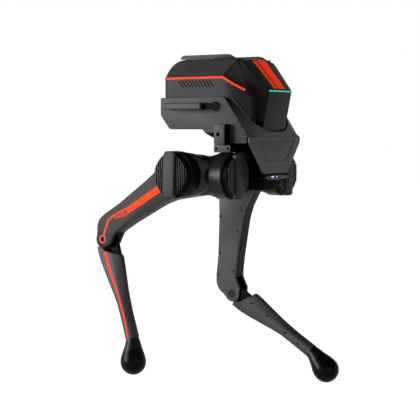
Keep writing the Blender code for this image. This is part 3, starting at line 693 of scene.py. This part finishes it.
def collar_curves():
    """Lower edge and rim of the sloping collar over the chest, from the middle out to a wing's tip."""
    outer = PLATE_Y - 0.0004
    lower = [Vector((CHEST_X - 0.0008, y, 0.087)) for y in mm((0, 20, 40, 60, 80, 96))]
    lower += [Vector((CHEST_X - 0.0022, 0.1055, 0.0875)), Vector((0.06, outer, 0.089))]
    lower += [Vector((0.0596, outer, 0.0892)).lerp(Vector((0.0048, outer, 0.1712)), i / 8) for i in range(1,
        9)]
    rim = [Vector((0.065, y, z)) for y, z in mm(((0, 96.5), (16, 96.8), (32, 98.5), (44, 101.5)))]
    rim += [Vector((0.063, 0.053, 0.106)), Vector((0.059, 0.063, 0.112)), Vector((0.055, 0.0715, 0.117)),
            Vector((0.0515, 0.078, 0.1215))]
    for i in range(1, 9):
        x = 0.0515 + (0.012 - 0.0515) * i / 8
        rim.append(Vector((x, side_y(SHELL_Y, x) + 0.0012, 0.1215 + (0.1745 - 0.1215) * (i / 8) ** 0.92)))
    return lower, rim


def make_chest():
    panel = mm([(-108.4, 89), (-107.5, 74), (-50.6, 3.5), (50.6, 3.5), (107.5, 74), (108.4, 89)])
    inset = mm([(-80.9, 79), (-44.7, 32), (44.7, 32), (80.9, 79)])
    cut = slab("YZ", rounded(inset, 0.006), CHEST_X - 0.002, CHEST_X + 0.004)
    mesh = baked(slab("YZ", rounded(panel, 0.007, 8), CHEST_X - 0.007, CHEST_X), bevel(0.004, 5),
        boolean(cut))
    piece(mesh, "chest_skin", CHEST_GREY, TRUNK, ["chest_cover"])
    field = slab("YZ", rounded(mm([(-79.5, 78.2), (-44, 32.8), (44, 32.8), (79.5, 78.2)]), 0.005),
        CHEST_X - 0.003, CHEST_X - 0.001)
    piece(baked(field, bevel(0.0006, 2)), "chest_field", CHEST_GREY, TRUNK)
    lower, rim = collar_curves()
    for side in BOTH:
        form = bmesh.new()
        rows = []
        for low, high in zip(lower, rim):
            middle = low.lerp(high, 0.5) - Vector((0.0, 0.002, 0.0016))
            row = (low, low.lerp(middle, 0.5), middle, middle.lerp(high, 0.5), high)
            rows.append([form.verts.new(point) for point in row])
        for first, second in zip(rows, rows[1:]):
            for i in range(4):
                form.faces.new((first[i], second[i], second[i + 1], first[i + 1]))

        def thicken(work):
            modifier = work.modifiers.new("Solidify", "SOLIDIFY")
            modifier.thickness = 0.0022
            modifier.offset = -1.0

        mesh = baked(form, thicken)
        # collar: grey with painted shade towards its top
        piece(mesh, "collar_", COLLAR_PAINTED_SHADE, trunk(side), smooth=40)
        # Bead along the rim in light grey: painted highlight.
        bead = loft([[tuple(point + Vector((0.0008 * cos(turn), 0.0006 * sin(turn), 0.0008 * sin(turn))))
            for turn in (tau * i / 8 for i in range(8))] for point in rim])
        piece(bead, "collar_rim_", RIM_PAINTED_HIGHLIGHT, trunk(side), smooth=60)


def make_camera_window():
    bezel = rounded(mm([(-51.7, 2.8), (-51.7, -4), (-40, -12), (40, -12), (51.7, -4), (51.7, 2.8)]), 0.003)
    piece(baked(slab("YZ", bezel, 0.05, 0.0672), bevel(0.0014, 3)), "camera_bezel_skin", BLACK_AND_PAINTED_SHADE, TRUNK,
          ["camera_bezel"])
    turns = [tau * i / 64 for i in range(64)]
    lens = [(0.0485 * cos(turn), -0.0042 + 0.0056 * sin(turn)) for turn in turns]
    piece(baked(slab("YZ", lens, 0.0665, 0.069), bevel(0.0008, 3)), "camera_glass", GLASS, TRUNK,
          ["camera_lens"])
    # Small glowing ellipses on the lens: painted glints.
    for index, (y, half, tall) in enumerate(mm(((-16.5, 6.2, 1.7), (1, 2.4, 1.3)))):
        eye = [(y + half * cos(turn), -0.003 + tall * sin(turn)) for turn in turns[::2]]
        piece(slab("YZ", eye, 0.0685, 0.0692), f"camera_eye_{index}", LENS_PAINTED_GLINT, TRUNK)


# ---- hips
MOTOR_RADIUS, BAND_WIDTH, BAND_HEIGHT = 0.053, 0.031, 0.104
ROLL_BACK, ROLL_FRONT, ROLL_FACE = -0.0115, 0.022, 0.04
DRUM_IN, DRUM_OUT, PITCH_FACE = 0.0263, 0.0865, 0.1045


def paint_shade_on_block_ends(mesh):
    """Painted shade: paint the front and rear faces of a hip block near-black."""
    dark = mesh.materials.find(BLACK_AND_PAINTED_SHADE.name)
    for face in mesh.polygons:
        if abs(face.normal.x) > 0.5:
            face.material_index = dark


def make_trunk_core():
    core = hull([(x, sign * y, z) for x, y, z in mm(((-17, 46, 73), (60, 46, 73), (-17, 46, -20),
        (60, 46, -5), (-10, 34, -34), (52, 34, -34))) for sign in (1, -1)])
    piece(baked(core, bevel(0.004, 3)), "core_skin", BLACK_AND_PAINTED_SHADE, TRUNK, ["chassis_core"])
    inner, outer = PLATE_Y + 0.0003, 0.13
    for side in BOTH:
        upper = slab("XZ", mm([(-15, 70.3), (14, 70.3), (14, 116), (-15, 116)]), inner, outer)
        bore = turned(mm([(0, 116), (4.8, 116), (4.8, 140), (0, 140)]), "Y", (-0.004, 0.0935), 40)
        # Bore walls near-black: painted shade inside the bore.
        mesh = baked(upper, bevel(0.0012, 3), boolean(bore, material=BLACK_AND_PAINTED_SHADE), material=TRIM_GREY)
        paint_shade_on_block_ends(mesh)
        piece(mesh, "hip_block_upper_skin_", TRIM_GREY, trunk(side), ["hip_block_upper_"])
        bores = bmesh.new()
        for x in (-0.0085, 0.0235):
            turned(mm([(0, 115), (3.4, 115), (3.4, 140), (0, 140)]), "Y", (x, 0.0618), 36, bores)
        lower = slab("XZ", mm([(-15, 53.5), (30, 53.5), (30, 70), (-15, 70)]), inner, outer)
        # Bore walls near-black: painted shade inside the bores.
        mesh = baked(lower, bevel(0.0012, 3), boolean(bores, material=BLACK_AND_PAINTED_SHADE), material=TRIM_GREY)
        paint_shade_on_block_ends(mesh)
        piece(mesh, "hip_block_lower_skin_", TRIM_GREY, trunk(side), ["hip_block_lower_"])
        saddle = block((-0.01, 0.06, 0.0535), (0.02, 0.1045, BELLY + 0.0003))
        piece(baked(saddle, bevel(0.0015, 2)), "saddle_skin_", BLACK_AND_PAINTED_SHADE, trunk(side), ["motor_saddle_"])


def motor_front(axis, centre, start, face, label, mount, band_look, fin_look):
    """Front of a hip motor: stepped rim, finned disc and the upright band across it."""
    crown = face - 0.0068
    profile = [(0.0, start), (0.048, start), (0.048, start + 0.0024), (0.0472, start + 0.0034),
        (0.0462, start + 0.0034), (0.046, crown - 0.003), (0.0452, crown - 0.001), (0.0438, crown),
        (0.0, crown)]
    piece(turned(profile, axis, centre, 128), f"motor_rim_{label}_", MOTOR_BLACK, mount,
          [label + "_motor_cap_"])
    fins = bmesh.new()
    pitch, thick, reach = 0.005, 0.0022, 0.0436
    plane = "YZ" if axis == "X" else "XZ"
    for sign in (1, -1):
        offset = BAND_WIDTH / 2 + 0.002
        while offset < reach - thick:
            near, far = offset, offset + thick
            ends = [(near, sqrt(reach ** 2 - near ** 2)), (far, sqrt(reach ** 2 - far ** 2))]
            outline = [(centre[0] + sign * x, centre[1] + z) for x, z in ends]
            outline += [(centre[0] + sign * x, centre[1] - z) for x, z in reversed(ends)]
            slab(plane, outline if sign < 0 else outline[::-1], crown - 0.001, face - 0.0046, into=fins)
            offset += pitch
    piece(baked(fins, bevel(0.0005, 2)), f"motor_fins_{label}_", fin_look, mount)
    half_w, half_h = BAND_WIDTH / 2, BAND_HEIGHT / 2
    corner = [(half_w, half_h - 0.005), (half_w - 0.0035, half_h - 0.0016), (half_w - 0.009, half_h)]
    band = corner + [(-x, z) for x, z in corner[::-1]]
    band += [(-x, -z) for x, z in corner] + [(x, -z) for x, z in corner[::-1]]
    band = [(centre[0] + x, centre[1] + z) for x, z in band]
    piece(baked(slab(plane, band, start + 0.0065, face), bevel(0.002, 4)), f"motor_band_skin_{label}_",
          band_look, mount, [label + "_motor_band_"])
    eye = (centre[0] - BAND_WIDTH / 2 - 0.0062, centre[1])
    hub = [(0.0, crown - 0.001), (0.005, crown - 0.001), (0.005, face - 0.0042), (0.0042, face - 0.0036),
           (0.0026, face - 0.0036), (0.0024, face - 0.006), (0.0, face - 0.006)]
    piece(turned(hub, axis, eye, 40), f"motor_hub_{label}_", MOTOR_BLACK, mount)
    level = start + 0.0034
    for index in range(6):
        turn = radians(30 + 60 * index)
        across, up = centre[0] + 0.0465 * cos(turn), centre[1] + 0.0465 * sin(turn)
        at = (level, across, up) if axis == "X" else (across, level, up)
        screw_head(f"motor_screw_{label}_{SIDE_NAME[mount[2]]}_{index}", at, axis, 0.0017, mount)


def make_hips(side):
    name = SIDE_NAME[side]
    fixed, moving = (LEGS[side]["motor"], "trunk", side), (LEGS[side]["link"], "hip_" + name, side)
    housing = [(0.0, ROLL_BACK), (0.051, ROLL_BACK), (MOTOR_RADIUS, ROLL_BACK + 0.002),
        (MOTOR_RADIUS, ROLL_FRONT - 0.0022), (0.052, ROLL_FRONT - 0.0006), (0.0508, ROLL_FRONT),
        (0.0494, ROLL_FRONT), (0.049, ROLL_FRONT - 0.006), (0.0, ROLL_FRONT - 0.006)]
    piece(turned(housing, "X", steps=128), "roll_motor_skin_", MOTOR_GREY, fixed, ["roll_motor_housing_"])
    # The roll motor takes lighter copies of the band and fin greys: painted light on its front.
    motor_front("X", (0.0, 0.0), ROLL_FRONT - 0.0004, ROLL_FACE, "roll", fixed, ROLL_BAND_PAINTED_LIGHT, ROLL_FIN_PAINTED_LIGHT)
    make_hip_link(moving)
    motor_front("Y", (PITCH_X, 0.0), DRUM_OUT + 0.0003, PITCH_FACE, "pitch", moving, BAND_GREY, FIN_GREY)


def make_hip_link(mount):
    drum = [(0.0, DRUM_IN), (0.047, DRUM_IN), (0.0495, DRUM_IN + 0.01), (0.0505, 0.056), (0.0518, 0.06),
            (MOTOR_RADIUS, 0.0615), (MOTOR_RADIUS, DRUM_OUT - 0.0025), (0.0522, DRUM_OUT - 0.0006),
            (0.0508, DRUM_OUT), (0.0, DRUM_OUT)]
    piece(turned(drum, "Y", (PITCH_X, 0.0), 128), "hip_drum_", MOTOR_BLACK, mount, ["hip_link_"])
    flange = mm([(0, -26.5), (47, -26.5), (48, -25.5), (48, -13.5), (47, -12.5), (0, -12.5)])
    piece(turned(flange, "X", (0.0, 0.0), 96), "hip_flange_", MOTOR_GREY, mount)
    sections = []
    for x, reach, half, round_off in ((-0.0135, 0.043, 0.025, 0.01), (-0.028, 0.049, 0.035, 0.014),
            (-0.045, 0.055, 0.044, 0.016), (-0.062, 0.059, 0.049, 0.018), (PITCH_X, 0.061, 0.0512, 0.018)):
        outline = rounded([(DRUM_IN + 0.0003, -half), (reach, -half), (reach, half),
            (DRUM_IN + 0.0003, half)], round_off, 6)
        sections.append([(x, y, z) for y, z in outline])
    piece(loft(sections), "hip_neck_", NECK_PAINTED_LIGHT, mount, smooth=35)
    socket = rounded(mm([(31, 30), (45, 30), (45, 42), (31, 42)]), 0.002)
    piece(baked(slab("YZ", socket, -0.044, -0.03), bevel(0.001, 2)), "hip_socket_", BLACK_AND_PAINTED_SHADE, mount)


# ---- legs
THIGH_HALF, THIGH_WALL, SHANK_HALF = 0.02, 0.013, 0.016


def thigh_outline(inset=0.0):
    hip = arc((0.0, 0.0), 0.048 - inset, -30, 195, 40)
    rear = [(-0.0605 + inset, -0.07), (-0.0548 + inset, -0.1185), (-0.0487 + inset, -0.217),
            (-0.05 + inset, -0.264)]
    front = [(0.004 - inset, -0.212), (0.0106 - inset, -0.1138), (0.019 - inset, -0.0755)]
    if inset:
        return hip + rear + [(-0.047 + inset, -0.287), (-0.06, -0.292), (-0.06, -0.34), (0.06, -0.34),
            (0.06, -0.262), (0.0035 - inset, -0.259)] + front
    knee = arc((0.0, -LINK), 0.02, 215, 360, 28)
    side = rounded(rear + [(-0.0465, -0.289), (-0.0245, -0.3085)], 0.012, 6)[3:-3]
    return hip + side + knee + rounded([(0.0205, -0.286), (0.0035, -0.259)] + front, 0.008, 5)[2:-3]


def make_thigh(side):
    name = SIDE_NAME[side]
    mount = LEGS[side]["thigh"], "thigh_" + name, side
    cavity = slab("XZ", thigh_outline(0.003), -0.018, THIGH_WALL)
    bore = turned(mm([(0, -30), (7, -30), (7, 30), (0, 30)]), "Y", (0.0, -LINK), 48)
    # Walls of the cavity and the knee bore near-black: painted shade inside them.
    mesh = baked(slab("XZ", thigh_outline(), -THIGH_WALL, THIGH_HALF), bevel(0.0022, 3),
        boolean(cavity, material=BLACK_AND_PAINTED_SHADE), boolean(bore, material=BLACK_AND_PAINTED_SHADE), material=THIGH_GREY)
    piece(mesh, "thigh_skin_", THIGH_GREY, mount, ["thigh_shell_"])
    boss = mm([(0, 19), (43, 19), (42, 24.5), (40.5, 25.9), (0, 25.9)])
    piece(turned(boss, "Y", (0.0, 0.0), 96), "thigh_boss_", MOTOR_BLACK, mount)
    mesh = baked(slab("XZ", thigh_outline(), -THIGH_HALF, -(THIGH_WALL + 0.0003)), bevel(0.002, 3))
    piece(mesh, "thigh_cover_skin_", COVER_GREY, mount, ["thigh_cover_"])
    inner_boss = [(radius, -along) for radius, along in boss]
    piece(turned(inner_boss, "Y", (0.0, 0.0), 96), "thigh_inner_boss_", MOTOR_BLACK, mount)
    for index, (x, z) in enumerate(mm(((-44, -206), (1, -143), (-44, -262), (-2, -243), (8, -90),
            (-52, -115)))):
        screw_head(f"thigh_screw_{name}_{index}", (x, -THIGH_HALF, z), "Y", 0.0021, mount, -0.0003)
    cap = mm([(0, -21.4), (2.2, -21.4), (2.6, -21), (5.8, -21), (6.2, -21.6), (9.2, -21.6), (9.8, -20.8),
        (9.8, -15), (0, -15)])
    piece(turned(cap, "Y", (0.0, -LINK), 64), "knee_cap_", TRIM_GREY, mount, ["knee_pin_"])
    well = mm([(0, 12), (6.8, 12), (6.8, 19.8), (5.2, 19.8), (4.6, 15), (0, 15)])
    piece(turned(well, "Y", (0.0, -LINK), 56), "knee_well_", SCREW, mount)
    make_knee_motor(mount)
    make_thigh_graphics(mount)


def make_knee_motor(mount):
    housing = mm([(0, -26.2), (45, -26.2), (46, -27.5), (46, -48), (45, -49), (45, -51), (46, -52), (46, -68),
        (44, -70), (0, -70)])
    piece(turned(housing, "Y", (0.0, 0.0), 112), "knee_motor_skin_", MOTOR_BLACK, mount,
          ["knee_motor_housing_"])
    cap = mm([(0, -70.3), (40, -70.3), (40, -72.5), (38.5, -73.5), (30, -73.5), (29, -72.2), (10, -72.2),
        (9, -73.5), (0, -73.5)])
    piece(turned(cap, "Y", (0.0, 0.0), 96), "knee_motor_end_", FIN_GREY, mount, ["knee_motor_cap_"])


def ribbon(path, widths, low, high):
    """Flat stripe along a path of (x, z) points, with a width at each point, as an outline slab."""
    left, right = [], []
    for index, point in enumerate(path):
        before = Vector(path[max(index - 1, 0)])
        after = Vector(path[min(index + 1, len(path) - 1)])
        along = (after - before).normalized()
        across = Vector((-along.y, along.x)) * widths[index] / 2
        left.append(tuple(Vector(point) + across))
        right.append(tuple(Vector(point) - across))
    return slab("XZ", left + right[::-1], low, high)


def make_thigh_graphics(mount):
    """Orange stripe with a comb of short teeth, running into a ring round the knee's well."""
    low, high = THIGH_HALF - 0.0008, THIGH_HALF + 0.0003
    band = mm([(-26.8, -60), (-27.2, -105), (-28.5, -194), (-34.5, -243), (-33.5, -263), (-9.5, -292.5),
        (-5.5, -290.5), (-28.5, -261), (-29.8, -243), (-24, -198.5), (-15, -206.5), (-12.5, -150),
        (-11, -103), (-10.5, -60)])
    piece(slab("XZ", band, low, high), "thigh_stripe_", ORANGE_PAINTED_GLOW, mount)
    teeth = bmesh.new()
    for index in range(6):
        share = index / 5
        x, z = -0.0232 - 0.005 * share, -0.2085 - 0.03 * share
        tall = 0.0105 - 0.0035 * share
        slab("XZ", [(x, z), (x, z - 0.002), (x + tall, z - 0.002), (x + tall, z)], low, high, into=teeth)
    piece(teeth, "thigh_comb_", ORANGE_PAINTED_GLOW, mount)
    ring = turned([(0.0076, low), (0.0101, low), (0.0101, high), (0.0076, high), (0.0076, low)], "Y",
        (0.0, -LINK), 72)
    bmesh.ops.remove_doubles(ring, verts=ring.verts, dist=1e-6)
    piece(ring, "knee_ring_", ORANGE_PAINTED_GLOW, mount)


SHANK_REAR = mm([(0, -26.2), (30, -26.2), (45, -25), (70, -21.2), (85, -18.2), (105, -14.2), (135, -8.5),
    (158, -5), (190, -4), (246, -4.5)])
SHANK_FRONT = mm([(0, 29), (47.5, 31), (58, 32.2), (98, 28.8), (130, 26.2), (158, 25), (195, 25), (225, 26.2),
    (246, 27.6)])
SHANK_SHARP = mm([(30, 3), (100, 6), (170, 10.5), (225, 14.5), (246, 15.6)])
FACET_DEPTH = mm([(0, 8.5), (60, 9), (158, 10), (225, 14.5), (246, 15.7)])
FACET_LENGTH = mm([(0, 19), (60, 20), (158, 13), (225, 15), (246, 15.8)])
FACET_BULGE = [(0.0, 0.18), (0.1, 0.22), (0.17, 0.6), (0.215, 1.0), (0.246, 1.0)]
COVER_TOP = (mm([(-60, 30), (-60, -14), (-25, -14)]) + arc((0.0, 0.0), 0.0218, 214, 238,
    8) + mm([(-4, -28.5), (13, -38), (28.5, -46), (60, -46), (60, 30)]))


def shank_section(drop, low, high):
    """Rounded outline of the shank's cross-section; its corners grow until the neck is round."""
    rear, front = between(SHANK_REAR, drop), between(SHANK_FRONT, drop)
    corner, deep = between(SHANK_SHARP, drop), between(FACET_DEPTH, drop)
    long, bulge = between(FACET_LENGTH, drop), between(FACET_BULGE, drop)
    points = []
    for y, sign in ((high, 1), (low, -1)):
        facet = []
        start, end = Vector((front, y - sign * deep)), Vector((front - long, y))
        knee = start.lerp(end, 0.5).lerp(Vector((front, y)), bulge)
        for step in range(9):
            share = step / 8
            facet.append(tuple(start.lerp(knee, share).lerp(knee.lerp(end, share), share)))
        if sign > 0:
            points += facet
            points += arc((rear + corner, high - corner), corner, 90, 180, 8)
            points += arc((rear + corner, low + corner), corner, 180, 270, 8)
        else:
            points += facet[::-1]
    return points


def make_shank(side):
    name = SIDE_NAME[side]
    mount = LEGS[side]["shank"], "shank_" + name, side
    drops = mm([8, 20, 30, 40, 48, 56, 70, 85, 100, 115, 130, 145, 158, 172, 186, 200, 214, 228, 245.5])
    form = loft([[(x, y, -drop) for x, y in shank_section(drop, -SHANK_HALF, SHANK_HALF)] for drop in drops])
    cuts = slab("XZ", COVER_TOP, -0.03, 0.03)
    mesh = baked(form, boolean(cuts), bevel(0.0006, 2, 50), material=SHELL_GREY)
    piece(mesh, "shank_skin_", SHELL_GREY, mount, ["shank_cover_"], smooth=20)
    make_knuckle(mount)
    for index, (x, z) in enumerate(mm(((13, -56), (15, -108), (12, -170), (11.5, -212)))):
        screw_head(f"shank_screw_{name}_{index}", (x, -SHANK_HALF, z), "Y", 0.002, mount, -0.0003)
    stripe = ribbon(mm([(-3.8, -31), (-2, -66), (4.2, -108), (9.8, -150)]), [0.0076, 0.0068, 0.0054, 0.0044],
        SHANK_HALF - 0.001, SHANK_HALF + 0.0003)
    piece(stripe, "shank_stripe_upper_", ORANGE_PAINTED_GLOW, mount)
    stripe = ribbon(mm([(10.3, -153.5), (13, -190), (12.6, -220), (10.8, -245.2)]),
        [0.0042, 0.0038, 0.0036, 0.0032], SHANK_HALF - 0.001, SHANK_HALF + 0.0003)
    piece(stripe, "shank_stripe_lower_", ORANGE_PAINTED_GLOW, mount)


def make_knuckle(mount):
    """Top of the shank's frame: the eye on the knee pin, the lever for the push rod, and the front tongue."""
    lever = (0.02 * sin(CRANK_ANGLE), -0.02 * cos(CRANK_ANGLE))
    outline = [(x, 0.0, z) for x, z in arc((0.0, 0.0), 0.0183, 0, 345, 23) + arc(lever, 0.0068, 0, 345,
        23) + mm([(-18.3, -34), (23.5, -50), (23.2, -7)])]
    form = hull([(x, y, z) for x, _, z in outline for y in (-0.0123, -0.0009)])
    piece(baked(form, bevel(0.0009, 2)), "knuckle_", MOTOR_BLACK, mount, ["shank_frame_"])
    pin = turned(mm([(0, -1), (3, -1), (3, 8.6), (2.4, 9), (0, 9)]), "Y", lever, 32)
    piece(pin, "lever_pin_", STEEL, mount)


def foot_sections():
    """Centre x, drop from the knee and radius down the ankle and the ball of the foot."""
    neck = mm([(11.5, 246.3, 16), (10.6, 252, 17.3), (9, 259, 19.5), (6.8, 266, 21.9), (4.8, 272, 23.8)])
    ball = mm([(3.6, 276.2, 25.4), (2.3, 281, 27.1), (1.2, 286.5, 28.8), (0.4, 293, 30.1), (0, 300, 30.5)])
    sole = []
    for step in range(1, 15):
        turn = radians(90 * step / 14)
        sole.append((0.0, LINK + 0.0304 * sin(turn), max(0.0304 * cos(turn), 0.0002)))
    return neck, ball, sole


def make_foot(side):
    name = SIDE_NAME[side]
    mount = LEGS[side]["shank"], "shank_" + name, side
    neck, ball, sole = foot_sections()

    def rings(rows):
        return [[(x + a, b, -drop) for a, b in circle((0.0, 0.0), radius, 72)] for x, drop, radius in rows]

    piece(loft(rings(neck)), "ankle_skin_", ANKLE_BLACK, mount, ["ankle_sleeve_"], smooth=50)
    form = loft(rings([(neck[-1][0], neck[-1][1] + 0.0003, neck[-1][2] + 0.0004)] + ball + sole))
    piece(form, "foot_skin_", RUBBER, mount, ["foot_"], smooth=60)
    for index, drop in enumerate((0.257, 0.2665)):
        radius = between([(row[1], row[2]) for row in neck], drop)
        centre = between([(row[1], row[0]) for row in neck], drop)
        screw_head(f"ankle_screw_{name}_{index}", (centre - 0.002, radius, -drop), "Y", 0.0027, mount, 0.0)
    make_foot_grooves(mount, ball)


def make_foot_grooves(mount, ball):
    """Short raised tread bars that curve round the outer and front side of the ball."""
    radii, centres = [(drop, radius) for _, drop, radius in ball], [(drop, x) for x, drop, _ in ball]
    edges = mm(((-1, 0.9), (0.5, 0.6), (0.5, -0.6), (-1, -0.9)))
    bars = bmesh.new()
    for drop in (0.279, 0.2835, 0.288):
        radius, centre = between(radii, drop), between(centres, drop)
        for start in (-40, 70, 180):
            turns = [radians(start + 70 * step / 12) for step in range(13)]
            loft([[(centre + (radius + reach) * cos(turn), (radius + reach) * sin(turn),
                    -drop + shift) for reach, shift in edges] for turn in turns], into=bars)
    piece(bars, "foot_tread_", ANKLE_BLACK, mount)


# ---- camera, light and floor
def look_at(obj, spot, target):
    obj.location = spot
    obj.rotation_euler = (Vector(target) - Vector(spot)).to_track_quat("-Z", "Y").to_euler()


def make_camera():
    turn, rise, distance, field = 0.61175, 0.07034, 2.8791, 1214.19 / 420.0
    target = Vector((HIP.x - 0.1163, 0.0, HIP.z - 0.0867))
    direction = Vector((sin(turn) * cos(rise), -cos(turn) * cos(rise), sin(rise)))
    data = bpy.data.cameras.new("camera")
    data.sensor_width = 36.0
    data.lens = field * data.sensor_width
    camera = add_object("camera", data)
    look_at(camera, target + direction * distance, target)
    bpy.context.scene.camera = camera


def area_light(name, spot, target, size, power):
    data = bpy.data.lights.new(name, "AREA")
    data.shape = "RECTANGLE"
    data.size, data.size_y = size
    data.energy = power
    look_at(add_object(name, data), spot, target)


def make_world():
    """White round the horizon, dark overhead, like a studio with a black ceiling."""
    world = bpy.data.worlds.new("studio")
    world.use_nodes = True
    tree = world.node_tree
    place = tree.nodes.new("ShaderNodeTexCoord")
    split = tree.nodes.new("ShaderNodeSeparateXYZ")
    fade = tree.nodes.new("ShaderNodeValToRGB")
    fade.color_ramp.elements[0].position = 0.28
    fade.color_ramp.elements[0].color = (1.0, 1.0, 1.0, 1.0)
    fade.color_ramp.elements[1].position = 0.6
    fade.color_ramp.elements[1].color = (0.1, 0.1, 0.1, 1.0)
    tree.links.new(place.outputs["Generated"], split.inputs["Vector"])
    tree.links.new(split.outputs["Z"], fade.inputs["Fac"])
    tree.links.new(fade.outputs["Color"], tree.nodes["Background"].inputs["Color"])
    bpy.context.scene.world = world


def make_studio():
    bpy.context.scene.view_settings.view_transform = "Standard"
    make_world()
    form = bmesh.new()
    bmesh.ops.create_grid(form, x_segments=1, y_segments=1, size=9.0)
    pale = moulded("pale_floor", (0.12, 0.12, 0.12), 0.9, specular=0.0, grain=0.0, variation=0.0,
        emission=8.7)
    add_object("floor", to_mesh(form, "floor", pale))
    middle = (0.0, 0.0, 0.45)
    area_light("key", (-1.9, -2.3, 0.9), middle, (1.8, 1.2), 250.0)
    area_light("fill", (2.6, -1.3, 0.8), middle, (1.2, 1.2), 14.0)
    area_light("rim", (-2.6, 1.6, 0.8), middle, (1.0, 1.0), 10.0)


def finish_hidden_nodes():
    """CAD pieces that stay as they are, mostly inside the robot."""
    looks = {"control_board": BOARD}
    for side in BOTH:
        name = SIDE_NAME[side]
        looks["knee_crank_" + name] = STEEL
        looks["push_rod_" + name] = STEEL
    for node, material in looks.items():
        mesh = frame["nodes"][node].data
        mesh.materials.clear()
        mesh.materials.append(material)


def main():
    make_upper_shell()
    make_shell_stripes()
    make_side_plates()
    make_belly()
    make_rear_panel()
    make_rails()
    make_handles()
    make_head()
    make_chest()
    make_camera_window()
    make_trunk_core()
    for side in BOTH:
        make_hips(side)
        make_thigh(side)
        make_shank(side)
        make_foot(side)
    finish_hidden_nodes()
    make_camera()
    make_studio()


main()
